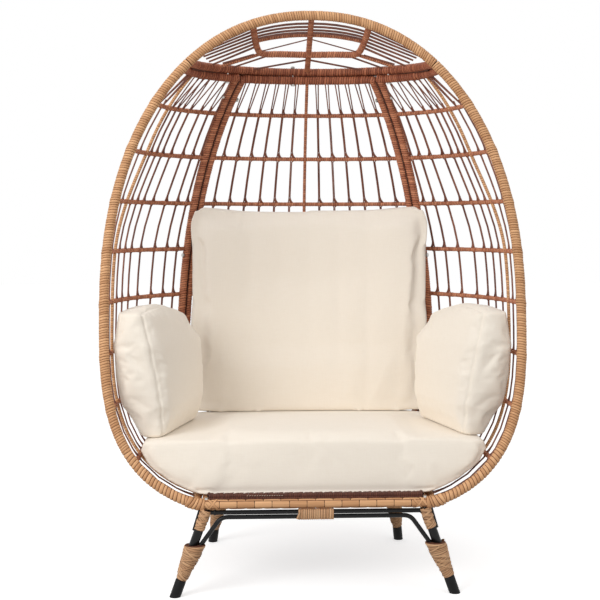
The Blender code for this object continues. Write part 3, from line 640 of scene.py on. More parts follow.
@lru_cache(maxsize=None)
def winding_group() -> bpy.types.NodeTree:
    """Wound strip on its own UV: U counts the turns, V runs round the tube; its grooves get painted shade."""
    group, nodes, given, result = new_group(
        "Wound strip",
        [
            ("UV", "Vector", None),
            ("Pale", "Color", (0.6, 0.4, 0.2)),
            ("Deep", "Color", (0.4, 0.2, 0.1)),
            ("Groove", "Color", (0.1, 0.04, 0.02)),
            ("Fibre", "Float", 1.0),
        ],
        [("Color", "Color"), ("Height", "Float"), ("Groove mask", "Float")],
    )
    parts = nodes.add("ShaderNodeSeparateXYZ", in_Vector=given.outputs["UV"])
    turn = nodes.math("FLOOR", parts.outputs[0])
    tube = nodes.math("FLOOR", nodes.math("MULTIPLY", parts.outputs[1], 0.5))
    across = nodes.math("FRACT", parts.outputs[0])
    key = nodes.add("ShaderNodeCombineXYZ", in_X=turn, in_Y=tube)
    lot = nodes.add("ShaderNodeTexWhiteNoise", noise_dimensions="2D", in_Vector=key.outputs[0])
    streak = nodes.add("ShaderNodeCombineXYZ")
    for target, value, scale in zip(streak.inputs, (across, parts.outputs[1], turn), (9.0, 2.5, 3.7)):
        nodes.feed(target, nodes.math("MULTIPLY", value, scale))
    fibre = nodes.noise(streak.outputs[0], 1.0, 4.0, 0.65)
    lot_share, fibre_share = nodes.math("MULTIPLY", lot.outputs[0], 0.32), nodes.math("MULTIPLY", fibre, 0.68)
    tone = nodes.math("ADD", lot_share, fibre_share)
    body = nodes.mix(nodes.ramp(tone, 0.10, 0.85), given.outputs["Pale"], given.outputs["Deep"])
    edge = nodes.math("ABSOLUTE", nodes.math("SUBTRACT", across, 0.5))
    groove = nodes.ramp(edge, 0.36, 0.48)
    lift = nodes.math("MULTIPLY", nodes.math("SUBTRACT", 1.0, groove), 0.7)
    relief = nodes.math("MULTIPLY", nodes.math("MULTIPLY", fibre, given.outputs["Fibre"]), 0.5)
    # Painted shade: the grooves between turns are mixed towards the dark Groove colour.
    colour = nodes.mix(groove, body, given.outputs["Groove"])
    nodes.fill(result, Color=colour, Height=nodes.math("ADD", lift, relief), Groove_mask=groove)
    return group


@lru_cache(maxsize=None)
def cloth_group() -> bpy.types.NodeTree:
    """Woven cloth on Object coordinates: threads, slubs and soft creases."""
    group, nodes, given, result = new_group(
        "Woven cloth",
        [
            ("Place", "Vector", None),
            ("Cloth", "Color", (0.9, 0.8, 0.7)),
            ("Slub", "Color", (0.8, 0.7, 0.6)),
            ("Thread", "Float", 900.0),
        ],
        [("Color", "Color"), ("Weave", "Float"), ("Crease", "Float")],
    )
    threads = nodes.add("ShaderNodeVectorMath", operation="SCALE")
    nodes.fill(threads, Vector=given.outputs["Place"], Scale=given.outputs["Thread"])
    parts = nodes.add("ShaderNodeSeparateXYZ", in_Vector=threads.outputs[0])
    waves = [nodes.math("SINE", nodes.math("MULTIPLY", axis, math.tau)) for axis in parts.outputs]
    weave = nodes.math("MULTIPLY", nodes.math("ADD", waves[0], waves[1]), waves[2])
    slub = nodes.noise(nodes.stretch(given.outputs["Place"], (40.0, 40.0, 420.0)), 1.0, 3.0)
    cross = nodes.noise(nodes.stretch(given.outputs["Place"], (420.0, 40.0, 40.0)), 1.0, 3.0)
    lines = nodes.math("ADD", nodes.math("MULTIPLY", slub, 0.5), nodes.math("MULTIPLY", cross, 0.5))
    crease = nodes.noise(nodes.stretch(given.outputs["Place"], (5.0, 5.0, 8.0)), 1.0, 5.0, 0.55)
    body = nodes.mix(nodes.ramp(lines, 0.30, 0.75), given.outputs["Cloth"], given.outputs["Slub"])
    weave = nodes.math("ADD", nodes.math("MULTIPLY", weave, 0.15), lines)
    nodes.fill(result, Color=body, Weave=weave, Crease=crease)
    return group


def new_material(name: str) -> tuple[bpy.types.Material, Nodes, bpy.types.Node]:
    """Empty node material with its Principled shader.

    Args:
        name: The material's name.

    Returns:
        The material, its Nodes helper and the shader node.
    """
    made = bpy.data.materials.new(name)
    made.use_nodes = True
    nodes = Nodes(made.node_tree)
    return made, nodes, made.node_tree.nodes["Principled BSDF"]


@dataclass(frozen=True)
class StripFinish:
    """Wound flat strip: pale and deep tones, painted shade in the grooves, fibres along the strip."""

    name: str
    pale: tuple[float, float, float]
    deep: tuple[float, float, float]
    # Colour of the painted shade in the grooves between turns.
    groove: tuple[float, float, float]
    roughness: float = 0.5
    bump: float = 0.5
    weathering: float = 0.12

    def material(self) -> bpy.types.Material:
        """Builds the material on the piece's UV map and Object coordinates."""
        made, nodes, shader = new_material(self.name)
        uv = nodes.add("ShaderNodeUVMap", uv_map="UVMap")
        place = nodes.add("ShaderNodeTexCoord")
        strip = nodes.add("ShaderNodeGroup", node_tree=winding_group(), in_UV=uv.outputs[0])
        nodes.fill(strip, Pale=self.pale, Deep=self.deep, Groove=self.groove)
        colour = strip.outputs["Color"]
        rough = nodes.weather(shader, place.outputs["Object"], colour, self.weathering, self.roughness)
        rough = nodes.math("MULTIPLY_ADD", strip.outputs["Groove mask"], 0.3, rough)
        bump = nodes.bump(strip.outputs["Height"], self.bump, 0.0006)
        nodes.fill(shader, Roughness=rough, Normal=bump.outputs[0], Specular_IOR_Level=0.26)
        return made


@dataclass(frozen=True)
class StrandFinish:
    """Cane strand, streaked along its length; its dark reddish brown is partly the cane's own tone and partly
    painted shade.
    """

    name: str
    pale: tuple[float, float, float]
    deep: tuple[float, float, float]
    roughness: float = 0.5

    def material(self) -> bpy.types.Material:
        """Builds the material on Object coordinates."""
        made, nodes, shader = new_material(self.name)
        place = nodes.add("ShaderNodeTexCoord").outputs["Object"]
        broad = nodes.noise(nodes.stretch(place, (45.0, 45.0, 6.0)), 1.0, 3.0)
        fine = nodes.noise(nodes.stretch(place, (900.0, 900.0, 60.0)), 1.0, 2.0)
        tone = nodes.math("ADD", nodes.math("MULTIPLY", broad, 0.7), nodes.math("MULTIPLY", fine, 0.3))
        body = nodes.mix(nodes.ramp(tone, 0.3, 0.7), self.pale, self.deep)
        rough = nodes.weather(shader, place, body, 0.3, self.roughness)
        nodes.fill(shader, Roughness=rough, Normal=nodes.bump(fine, 0.3, 0.0003).outputs[0])
        return made


@dataclass(frozen=True)
class ClothFinish:
    """Cream woven cloth with a faint sheen."""

    name: str
    cloth: tuple[float, float, float]
    slub: tuple[float, float, float]

    def material(self) -> bpy.types.Material:
        """Builds the material on Object coordinates."""
        made, nodes, shader = new_material(self.name)
        place = nodes.add("ShaderNodeTexCoord").outputs["Object"]
        woven = nodes.add("ShaderNodeGroup", node_tree=cloth_group(), in_Place=place)
        nodes.fill(woven, Cloth=self.cloth, Slub=self.slub, Thread=700.0)
        fine = nodes.bump(woven.outputs["Weave"], 0.2, 0.0003)
        soft = nodes.bump(woven.outputs["Crease"], 0.25, 0.012)
        nodes.fill(soft, Normal=fine.outputs[0])
        nodes.fill(shader, Base_Color=woven.outputs["Color"], Normal=soft.outputs[0])
        nodes.fill(shader, Roughness=0.9, Sheen_Weight=0.25, Sheen_Roughness=0.5)
        return made


@dataclass(frozen=True)
class CoatedFinish:
    """Coated metal, rubber or plated steel: one colour, broken up by dust and fine orange peel."""

    name: str
    colour: tuple[float, float, float]
    roughness: float
    metallic: float = 0.0
    specular: float = 0.5
    peel: float = 0.15

    def material(self) -> bpy.types.Material:
        """Builds the material on Object coordinates."""
        made, nodes, shader = new_material(self.name)
        place = nodes.add("ShaderNodeTexCoord").outputs["Object"]
        rough = nodes.weather(shader, place, self.colour, 0.25, self.roughness)
        bump = nodes.bump(nodes.noise(place, 900.0, 2.0), self.peel, 0.0002)
        nodes.fill(shader, Roughness=rough, Normal=bump.outputs[0])
        nodes.fill(shader, Metallic=self.metallic, Specular_IOR_Level=self.specular)
        return made


class Finish(Enum):
    """The chair's finishes."""

    # The third colour of each strip is painted shade in its grooves.
    TAN_STRIP = StripFinish("tan_strip", (0.90, 0.53, 0.275), (0.52, 0.255, 0.115), (0.18, 0.064, 0.030))
    RING_STRIP = StripFinish("ring_strip", (0.76, 0.335, 0.185), (0.36, 0.115, 0.058), (0.07, 0.018, 0.011))
    # Redder, darker strip of the joint tubes, hoop and spine: partly their own tone, partly painted shade.
    PART_SHADED_JOINT_STRIP = StripFinish("joint_strip_part_painted_shade", (0.84, 0.365, 0.20), (0.37, 0.115, 0.058), (0.05, 0.012, 0.008))
    # Darker copy of the strip for the tubes at the roof's seam: painted shade.
    SHADED_SEAM_STRIP = StripFinish("painted_shade_seam_strip", (0.62, 0.225, 0.115), (0.21, 0.052, 0.026), (0.035, 0.008, 0.005))
    STRAW_STRIP = StripFinish("straw_strip", (0.76, 0.48, 0.27), (0.52, 0.28, 0.145), (0.12, 0.045, 0.025))
    # Dark red-brown of the strands: partly the cane's own tone, partly painted shade.
    STRAND = StrandFinish("cane_strand_part_painted_shade", (0.30, 0.105, 0.055), (0.13, 0.035, 0.02))
    # Dark cord laid in the crevices between tubes: painted shade.
    SHADE_CORD = StripFinish("painted_shade_cord", (0.14, 0.05, 0.03), (0.07, 0.025, 0.015), (0.02, 0.008, 0.005))
    CLOTH = ClothFinish("cream_cloth", (0.925, 0.850, 0.745), (0.905, 0.825, 0.715))
    SEAM = CoatedFinish("seam_thread", (0.62, 0.52, 0.42), 0.9, peel=0.3)
    STEEL = CoatedFinish("black_coated_steel", (0.0035, 0.0035, 0.0038), 0.32, specular=0.22)
    RUBBER = CoatedFinish("black_rubber", (0.0055, 0.0055, 0.006), 0.50, specular=0.18)
    BOLT = CoatedFinish("zinc_bolt", (0.55, 0.54, 0.52), 0.32, 0.9)
    DECK = StripFinish("deck_strip", (0.15, 0.05, 0.03), (0.08, 0.025, 0.016), (0.02, 0.008, 0.005))

    def get(self) -> bpy.types.Material:
        """The finish's material, built once."""
        return finish_material(self)


@lru_cache(maxsize=None)
def finish_material(finish: Finish) -> bpy.types.Material:
    """Builds a finish's material the first time it is asked for."""
    return finish.value.material()


class Slot(Enum):
    """The record's material slots."""

    WICKER = "wicker"
    PALE = "pale_wicker"
    WEAVE = "dark_weave"
    STEEL = "black_steel"
    RUBBER = "black_rubber"
    FABRIC = "cream_fabric"


def dress(piece: bpy.types.Object, finish: Finish) -> bpy.types.Object:
    """Gives a whole piece one finish."""
    piece.data.materials.clear()
    piece.data.materials.append(finish.get())
    return piece


def place(piece: bpy.types.Object, slot: Slot, *nodes: str) -> bpy.types.Object:
    """Fits a finished piece to the frame: hangs it from the root body and hides the CAD nodes that it stands for.
    """
    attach(piece, "root")
    if nodes:
        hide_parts(*nodes)
    LOG.info("%s: %d faces", piece.name, len(piece.data.polygons))
    return piece


# ---- Woven panels ------------------------------------------------------------


@dataclass
class WovenPanel:
    """What the cage's panels share: wound tubes, wound rings and twin strands.

    Attributes:
        form: The egg's surface.
        rim: Winding of the rim tube.
        tube: Winding of the other frame tubes.
        seam_tube: Winding of the tubes that meet at the roof's seam.
        collar: Winding that laps over another one.
        cord: Dark cord between two tubes, which paints the shade in the crevice there.
        ring: Winding of the level rings.
        rod: Winding of the thicker upright rods.
        strand_radius: Radius of one strand of a pair.
        splay: How far a strand stands off above each ring, where its pair opens to pass round it.
        top_splay: How far it stands off at the top tube.
        strand_lift: Height of the strands in front of the rings' axes.
    """

    form: ShellForm
    rim: Winding = Winding(0.0124, 0.0066, 16, 0.0009, 0.16, 0.2)
    tube: Winding = Winding(0.0105, 0.0068, 12, 0.0009, 0.18, 0.3)
    seam_tube: Winding = Winding(0.0113, 0.0070, 14, 0.0009, 0.16, 0.1)
    collar: Winding = Winding(0.0126, 0.0078, 14, 0.0014, 0.2, 0.35)
    cord: Winding = Winding(0.0026, 0.0056, 8, 0.0009, 0.2)
    ring: Winding = Winding(0.0060, 0.0056, 10, 0.0007, 0.2)
    rod: Winding = Winding(0.0046, 0.0062, 8, 0.0005, 0.2)
    strand_radius: float = 0.0018
    strand_lift: float = 0.0022
    splay: float = 0.0082
    top_splay: float = 0.0045
    ring_low_z: float = 0.338
    ring_pitch: float = 0.1328
    ring_count: int = 7
    top_ring_z: float = 1.257
    seed: int = 1
    pieces: list[bpy.types.Object] = field(default_factory=list)

    def ring_heights(self) -> list[float]:
        """Heights of the rings, from the lowest to the one below the roof."""
        return [self.ring_low_z + self.ring_pitch * i for i in range(self.ring_count)] + [self.top_ring_z]

    def row_heights(self) -> list[float]:
        """Heights of the base, the rings and the top."""
        return [self.form.base_z, *self.ring_heights(), self.form.panel_top_z]

    def wind(
        self, winding: Winding, path: Sequence[Vector], finish: Finish, knots: Sequence[float] = ()
    ) -> None:
        """Winds one more tube of the panel, with a seed of its own."""
        self.seed += 1
        self.pieces.append(dress(winding.along(path, self.seed, knots), finish))

    def stake(self, point_at: Callable[[float, float], Vector], share: float, lay: float) -> Path:
        """Path of one strand of an upright pair.

        Args:
            point_at: Gives the panel's point at a height and a share.
            share: The pair's share across the panel.
            lay: Distance of the strand beside the pair's middle, with its sign.

        Returns:
            The strand's path from the base to the top.
        """
        path = []
        rows = self.row_heights()
        hook = self.splay if lay > 0 else -0.2 * self.splay
        for low, high in zip(rows[:-1], rows[1:-1]):
            marks = [(0.0, 1.1), (0.0055, 0.95), (0.0090, 0.6), (0.0140, 0.25), (0.022, 0.0)]
            for rise, opened in [*marks, ((high - low) * 0.5, 0.0), (high - low - 0.008, 0.0)]:
                z = low + rise
                path.append(self.beside(point_at, z, self.share_at(z, share), lay + hook * opened))
        path.append(self.beside(point_at, rows[-2], self.share_at(rows[-2], share), lay))
        spread = math.copysign(self.top_splay * (0.4 + 0.6 * abs(share)), lay)
        path.append(self.beside(point_at, rows[-1] - 0.004, self.top_share(share, lay), lay + spread))
        return path

    def feet(self, point_at: Callable[[float, float], Vector], share: float) -> list[Path]:
        """Short strands that thicken a pair's foot above each ring, where it hooks aside."""
        marks = ((0.0035, 0.0058), (0.0070, 0.0036), (0.0115, 0.0018), (0.0180, 0.0004))
        paths = []
        for z in self.ring_heights():
            for lay in (-0.0012, 0.0012):
                spots = [(z + rise, aside + lay) for rise, aside in marks]
                paths.append([self.beside(point_at, at, self.share_at(at, share), aside) for at, aside in spots])
        return paths

    def share_at(self, z: float, share: float) -> float:
        """Share of a pair at a height."""
        return share

    def top_share(self, share: float, lay: float) -> float:
        """Share at which a strand of a pair meets the top tube."""
        return share

    def beside(
        self, point_at: Callable[[float, float], Vector], z: float, share: float, offset: float
    ) -> Vector:
        """Point in front of the rings, moved across the panel by an offset."""
        step = 0.01
        middle = point_at(z, share)
        across = (point_at(z, share + step) - point_at(z, share - step)).normalized()
        return middle + across * offset + self.form.inward(middle) * self.strand_lift

    def finish(self, name: str, *nodes: str) -> bpy.types.Object:
        """Joins what was wound into one piece that stands for CAD nodes."""
        piece = joined(name, self.pieces)
        smooth(piece, 60.0)
        return place(piece, Slot.WICKER, *nodes)


@dataclass
class SidePanel(WovenPanel):
    """One side of the cage: the rim, a top, joint and base tube, rings, a rod and twin strands."""

    rim_seam_z: float = 1.3620
    rim_foot: Winding = Winding(0.0124, 0.0102, 16, 0.0014, 0.12, 0.25)
    wide_turns_z: float = 0.36
    strands_in_front: tuple[float, ...] = (0.12, 0.243)
    rod_share: float = 0.375
    strands_behind: tuple[float, ...] = (0.428, 0.500, 0.570, 0.660, 0.772, 0.860, 0.930)

    def build(self) -> None:
        """Builds the right side, then the left as its reflection."""
        form = self.form
        rows = self.row_heights()
        rim = [form.point(z, math.pi / 2) for z in self.rim_heights()]
        bend = next(i for i, place_at in enumerate(rim) if place_at.z > self.wide_turns_z)
        upper = rim[bend:]
        self.wind(self.rim_foot, rim[: bend + 1], Finish.TAN_STRIP)
        self.wind(self.rim, upper, Finish.TAN_STRIP, self.knots_on(upper, self.ring_heights()))
        joint = [form.beside_joint(z, 1) for z in spaced(rows[0], rows[-1], 28)]
        knots = self.knots_on(joint, self.ring_heights())
        self.wind(self.tube, extended(joint, 0.004), Finish.PART_SHADED_JOINT_STRIP, knots)
        top = [form.side_point(form.panel_top_z, share) for share in spaced(0.0, 1.0, 17)[:-1]] + [joint[-1]]
        top.append(joint[-1] + (joint[-1] - top[-2]).normalized() * 0.009)
        # The top tube and its collar take the darker seam strip: painted shade.
        self.wind(self.seam_tube, top, Finish.SHADED_SEAM_STRIP)
        collar = [form.side_point(form.panel_top_z, share) for share in (0.50, 0.54, 0.58)]
        self.wind(self.collar, collar, Finish.SHADED_SEAM_STRIP)
        base = [form.side_point(form.base_z, share) for share in spaced(0.0, 1.0, 17)[:-1]] + [joint[0]]
        self.wind(self.tube, base, Finish.TAN_STRIP)
        for z in self.ring_heights():
            ring = [form.side_point(z, share) for share in spaced(0.0, 1.0, 13)[:-1]]
            knots = [self.share_at(z, share) for share in self.pair_shares()]
            self.wind(self.ring, [*ring, form.beside_joint(z, 1)], Finish.RING_STRIP, knots)
        heights = spaced(rows[0], rows[-1], 40)
        rod = [self.beside(form.side_point, z, self.share_at(z, self.rod_share), 0.0) for z in heights]
        self.wind(self.rod, rod, Finish.TAN_STRIP)
        paths = []
        for share in self.pair_shares():
            if share != self.rod_share:
                paths += [self.stake(form.side_point, share, lay) for lay in (-0.0017, 0.0017)]
                paths += self.feet(form.side_point, share)
        self.pieces.append(dress(strands("strands", paths, self.strand_radius), Finish.STRAND))
        right = self.finish("side_weave_right", "side_panel_right")
        left = reflection(right, "side_weave_left")
        place(left, Slot.WICKER, "side_panel_left")

    def pair_shares(self) -> list[float]:
        """Shares of the pairs of strands and of the rod."""
        return [*self.strands_in_front, self.rod_share, *self.strands_behind]

    def share_at(self, z: float, share: float) -> float:
        """Share of a pair at a height: it is the pair's own above, and all pairs near the rim lower down."""
        fall = min(1.0, max(0.0, (1.160 - z) / 0.300))
        fall *= fall * (3.0 - 2.0 * fall)
        if share <= self.rod_share:
            return share - fall * (0.43 * share)
        return share - fall * (0.115 * (1.0 - share) / 0.572 + 0.02)

    def top_share(self, share: float, lay: float) -> float:
        """Share at which a strand meets the top tube, leaning towards the joint."""
        if share < self.rod_share:
            return 0.24 + 0.42 * share + (0.02 if lay > 0 else 0.0)
        return min(0.955, share + (0.09 if lay > 0 else 0.015))

    def rim_heights(self) -> list[float]:
        """Heights along the rim, closer together where it curves."""
        form = self.form
        start = math.asin(((form.widest_z - form.base_z) / form.lower_drop) ** (form.lower_power / 2))
        lower = [
            form.widest_z - form.lower_drop * math.sin(turn) ** (2 / form.lower_power)
            for turn in spaced(start, 0.0, 24)
        ]
        return lower + form.upper_heights(form.widest_z, self.rim_seam_z)[1:]

    @staticmethod
    def knots_on(path: Sequence[Vector], heights: Sequence[float]) -> list[float]:
        """Shares of a path's length at which it reaches given heights."""
        total, run, found = path_length(path), 0.0, []
        for start, end in zip(path, path[1:]):
            for z in heights:
                if start.z <= z < end.z:
                    found.append((run + (end - start).length * (z - start.z) / (end.z - start.z)) / total)
            run += (end - start).length
        return found


def extended(points: Sequence[Vector], length: float) -> Path:
    """The path with both ends drawn out by a length."""
    first = points[0] + (points[0] - points[1]).normalized() * length
    last = points[-1] + (points[-1] - points[-2]).normalized() * length
    return [first, *points, last]


def reflection(piece: bpy.types.Object, name: str) -> bpy.types.Object:
    """Copy of a piece on the chair's other side, with its faces outwards."""
    copy = new_object(name, piece.data.copy())
    copy.data.name = name
    with editing(copy):
        bpy.ops.transform.resize(value=(-1.0, 1.0, 1.0), center_override=(0.0, 0.0, 0.0))
        bpy.ops.mesh.flip_normals()
    return copy


@dataclass
class BackPanel(WovenPanel):
    """The middle of the cage: a closed tube frame, rings, a middle rod and twin strands."""

    pairs_per_side: int = 6

    def build(self) -> None:
        """Builds the whole panel."""
        form = self.form
        rows = self.row_heights()
        joint = extended([form.beside_joint(z, -1) for z in spaced(rows[0], rows[-1], 28)], 0.004)
        knots = SidePanel.knots_on(joint, self.ring_heights())
        middle = [form.point(z, form.joint_sweep(z)) for z in spaced(rows[0] + 0.03, rows[-1], 40)]
        # The dark cords along the joints are painted shade in the crevice between the joint tubes.
        seam = [place_at + form.inward(place_at) * 0.0052 for place_at in middle]
        for path, stitches in ((joint, seam), (mirrored(joint), mirrored(seam))):
            self.wind(self.tube, path, Finish.PART_SHADED_JOINT_STRIP, knots)
            self.wind(self.cord, stitches, Finish.SHADE_CORD)
        self.wind(self.tube, self.row(form.base_z), Finish.TAN_STRIP)
        # The top tube takes the darker seam strip: painted shade.
        self.wind(self.seam_tube, extended(self.row(form.panel_top_z), 0.009), Finish.SHADED_SEAM_STRIP)
        shares = spaced(-1.0, 1.0, 2 * self.pairs_per_side + 3)[1:-1]
        for z in self.ring_heights():
            self.wind(self.ring, self.row(z), Finish.RING_STRIP, [(1.0 + share) / 2 for share in shares])
        rod = [self.beside(form.back_point, z, 0.0, 0.0) for z in spaced(rows[0], rows[-1], 28)]
        self.wind(self.rod, rod, Finish.RING_STRIP)
        paths = []
        for share in shares:
            if abs(share) > 0.01:
                paths += [self.stake(form.back_point, share, lay) for lay in (-0.0017, 0.0017)]
                paths += self.feet(form.back_point, share)
        self.pieces.append(dress(strands("strands", paths, self.strand_radius), Finish.STRAND))
        self.finish("back_weave", "back_panel")

    def row(self, z: float) -> Path:
        """Level row that ends on the axes of the joint tubes."""
        inner = [self.form.back_point(z, share) for share in spaced(-1.0, 1.0, 19)[1:-1]]
        end = self.form.beside_joint(z, -1)
        return [*mirrored([end]), *inner, end]


@dataclass
class RoofPanel(WovenPanel):
    """The roof: the rim's arc, the rear tube, the hoop, the spine, rods and strands."""

    rim_seam_z: float = 1.3632
    hoop: Winding = Winding(0.0088, 0.0064, 12, 0.0009, 0.16, 0.3)
    spine: Winding = Winding(0.0078, 0.0064, 12, 0.0011, 0.2, 0.8)
    hoop_half_width: float = 0.155
    hoop_share: float = 0.66
    hoop_leg_share: float = 0.30
    leg_narrowing: float = 0.97
    corner_narrowing: float = 0.87
    corner_rod_splay: float = 0.10
    inner_rod_share: float = 0.33
    front_strands: tuple[float, ...] = (0.13, 0.185, 0.24, 0.285)
    row_dip: float = 0.085

    def build(self) -> None:
        """Builds the whole roof."""
        form = self.form
        edge = form.roof_across(self.hoop_half_width)
        leg, corner = edge * self.leg_narrowing, edge * self.corner_narrowing
        rim = [form.point(z, math.pi / 2) for z in self.rim_heights()]
        rim = rim[:-1] + mirrored(rim)[::-1]
        self.wind(self.rim, rim, Finish.TAN_STRIP)
        rear = [form.roof_seam(a) for a in spaced(-math.pi / 2, math.pi / 2, 61)]
        # The rear tube takes the darker seam strip: painted shade.
        self.wind(self.seam_tube, rear, Finish.SHADED_SEAM_STRIP)
        # The dark cord behind and below the rear tube is painted shade in the crevice between it and the panels'
        # top tubes.
        behind = Vector((0.0, 0.0062, -0.01175))
        self.wind(self.cord, [place_at + behind for place_at in rear[3:-3]], Finish.SHADE_CORD)
        upright = [form.roof_point(-edge, 0.03), form.roof_point(-leg, self.hoop_leg_share)]
        turn = [form.roof_point(-corner, self.hoop_share), form.roof_point(-corner * 0.6, self.hoop_share)]
        half = [*upright, *rounded_corner(upright[1], *turn, 0.024), *turn[1:]]
        hoop = [*half, form.roof_point(0.0, self.hoop_share + 0.01), *mirrored(half)[::-1]]
        self.wind(self.hoop, hoop, Finish.PART_SHADED_JOINT_STRIP)
        self.wind(self.spine, [form.roof_point(0.0, b) for b in spaced(0.02, 1.0, 7)], Finish.PART_SHADED_JOINT_STRIP)
        self.wind(self.rod, self.row(self.inner_rod_share, leg), Finish.RING_STRIP)
        paths = [self.row(back + lay, leg) for back in self.front_strands for lay in (-0.009, 0.009)]
        for side in (-1, 1):
            foot = form.roof_point(side * form.roof_across(self.hoop_half_width + self.corner_rod_splay), 1.0)
            self.wind(self.rod, [form.roof_point(side * corner, self.hoop_share), foot], Finish.RING_STRIP)
            paths += self.side_strands(side, leg, corner)
        self.pieces.append(dress(strands("strands", paths, self.strand_radius), Finish.STRAND))
        self.finish("roof_weave", "roof_panel")

    def row(self, back: float, reach: float) -> Path:
        """Row across the roof at a share of its depth, which dips towards its ends."""
        dip = self.row_dip
        return [self.form.roof_point(a, back + dip * (a / reach) ** 2) for a in spaced(-reach, reach, 11)]

    def side_strands(self, side: int, leg: float, corner: float) -> list[Path]:
        """Strands that fan from the cap's corner to the hoop, and from the hoop to the rear tube.

        Args:
            side: -1 for the left and 1 for the right.
            leg: Across value of the hoop's legs.
            corner: Across value of the hoop's corners.

        Returns:
            The strands' paths.
        """
        form = self.form
        paths = []
        for share in spaced(0.0, 1.0, 7):
            for lay in (-0.011, 0.011):
                start = form.roof_point(side * leg, 0.14 + 0.38 * share + lay)
                end = form.roof_point(side * (0.80 - 0.17 * share), 0.34 + 0.58 * share + lay)
                paths.append([start, end])
        spans = ((0.300, 0.66, 0.53, 0.86), (0.205, 0.68, 0.45, 0.95), (0.0, 0.76, 0.315, 0.97))
        for near_at, near_back, far_at, far_back in spans:
            for lay in (-0.006, 0.006):
                start = form.roof_point(side * near_at, near_back + lay)
                paths.append([start, form.roof_point(side * far_at, far_back + lay)])
        inner = form.roof_point(side * corner, self.hoop_share - 0.05)
        paths.append([form.roof_point(0.0, self.inner_rod_share + 0.06), inner])
        return paths

    def rim_heights(self) -> list[float]:
        """Heights along the rim's arc, closer together towards its top."""
        return self.form.upper_heights(self.rim_seam_z, self.form.top_z)


# ---- Ribbons, slabs and turned pieces ------------------------------------------


def ribbon(
    path: Sequence[Vector], facing: Sequence[Vector], width: float, thick: float, seed: int, curl: float = 0.0
) -> bpy.types.Object:
    """Strip along a path, crowned on the side that it faces.

    Args:
        path: Middle of the strip's underside.
        facing: Outward direction at each point of the path.
        width: Width of the strip.
        thick: Thickness at its middle.
        seed: Number of the strip, which sets its tone.
        curl: Radius of the tube that it is bent round, or 0 for a flat strip.

    Returns:
        The strip as a closed mesh, with U across it and V along it.
    """
    section = ((-0.5, 0.0), (-0.5, 0.45), (-0.2, 0.95), (0.2, 0.95), (0.5, 0.45), (0.5, 0.0))
    if curl:
        crown = ((-0.5, 0.6), (-0.44, 0.9), *((a, 1.0) for a in spaced(-0.3, 0.3, 5)), (0.44, 0.9), (0.5, 0.6))
        section = (section[0], *crown, section[-1])
    corners, run = [], [0.0]
    for i, (place_at, out) in enumerate(zip(path, facing)):
        ahead = path[min(i + 1, len(path) - 1)] - path[max(i - 1, 0)]
        side = ahead.cross(out).normalized()
        up = side.cross(ahead).normalized()
        up = -up if up.dot(out) < 0 else up
        for a, b in section:
            aside, above = a * width, b * thick
            if curl:
                turn, reach = a * width / curl, curl + b * thick
                aside, above = reach * math.sin(turn), reach * math.cos(turn) - curl
            corners.append(place_at + side * aside + up * above)
        if i:
            run.append(run[-1] + (place_at - path[i - 1]).length)
    count = len(section)
    faces = [
        (r * count + i, r * count + (i + 1) % count, (r + 1) * count + (i + 1) % count, (r + 1) * count + i)
        for r in range(len(path) - 1)
        for i in range(count)
    ]
    faces += [tuple(range(count))[::-1], tuple(len(corners) - count + i for i in range(count))]
    mesh = bpy.data.meshes.new("ribbon")
    mesh.from_pydata([tuple(c) for c in corners], [], faces)
    layer = mesh.uv_layers.new(name="UVMap")
    for face in mesh.polygons:
        for loop, vertex in zip(face.loop_indices, face.vertices):
            across, along = section[vertex % count][0], run[vertex // count] / width * 0.1
            layer.data[loop].uv = (seed % 97 + 0.5 + across * 0.98, seed * 2.0 + along % 1.9)
    return new_object("ribbon", mesh)


def helix(
    line: tuple[Vector, Vector], radii: tuple[float, float], turns: float, start: float, steps: int
) -> tuple[Path, Path]:
    """Path that winds round a tapered axis, with its outward directions.

    Args:
        line: Ends of the axis.
        radii: Radius at each end.
        turns: Number of turns, negative to wind the other way.
        start: Angle of the first point.
        steps: Number of points.

    Returns:
        The points and the outward direction at each.
    """
    low, high = line
    axis = (high - low).normalized()
    first = axis.cross(Vector((0.0, 1.0, 0.0))).normalized()
    second = axis.cross(first)
    points, facing = [], []
    for share in spaced(0.0, 1.0, steps):
        angle = start + turns * math.tau * share
        out = first * math.cos(angle) + second * math.sin(angle)
        points.append(low.lerp(high, share) + out * (radii[0] + (radii[1] - radii[0]) * share))
        facing.append(out)
    return points, facing


def turned(
    name: str, profile: Sequence[tuple[float, float]], sides: int, start: Vector, direction: Vector
) -> bpy.types.Object:
    """Turned piece: a circle extruded and resized through a profile.

    Args:
        name: The piece's name.
        profile: (radius, distance along the axis) of each ring.
        sides: Corners of the section.
        start: Where the axis starts.
        direction: Where the axis points.

    Returns:
        The closed piece, with its place in its mesh.
    """
    deselect()
    size, reach = profile[0]
    bpy.ops.mesh.primitive_circle_add(vertices=sides, radius=size, fill_type="NGON", calc_uvs=False)
    piece = bpy.context.object
    piece.name = piece.data.name = name
    with editing(piece):
        bpy.ops.transform.translate(value=(0.0, 0.0, reach))
        for wanted, distance in profile[1:]:
            bpy.ops.mesh.extrude_region_move(TRANSFORM_OT_translate={"value": (0.0, 0.0, distance - reach)})
            grow = wanted / size
            bpy.ops.transform.resize(value=(grow, grow, 1.0), center_override=(0.0, 0.0, 0.0))
            size, reach = wanted, distance
        bpy.ops.mesh.select_all(action="SELECT")
        bpy.ops.mesh.normals_make_consistent(inside=False)
    piece.rotation_euler = direction.to_track_quat("Z", "Y").to_euler()
    piece.location = start
    bpy.ops.object.transform_apply(location=True, rotation=True, scale=True)
    return piece


def rounded_corner(before: Vector, corner: Vector, after: Vector, radius: float) -> Path:
    """Points of a bend that replaces a corner of a path."""
    start = corner + (before - corner).normalized() * radius
    end = corner + (after - corner).normalized() * radius
    return [start.lerp(corner, t).lerp(corner.lerp(end, t), t) for t in spaced(0.0, 1.0, 7)]


# ---- Seat base -----------------------------------------------------------------


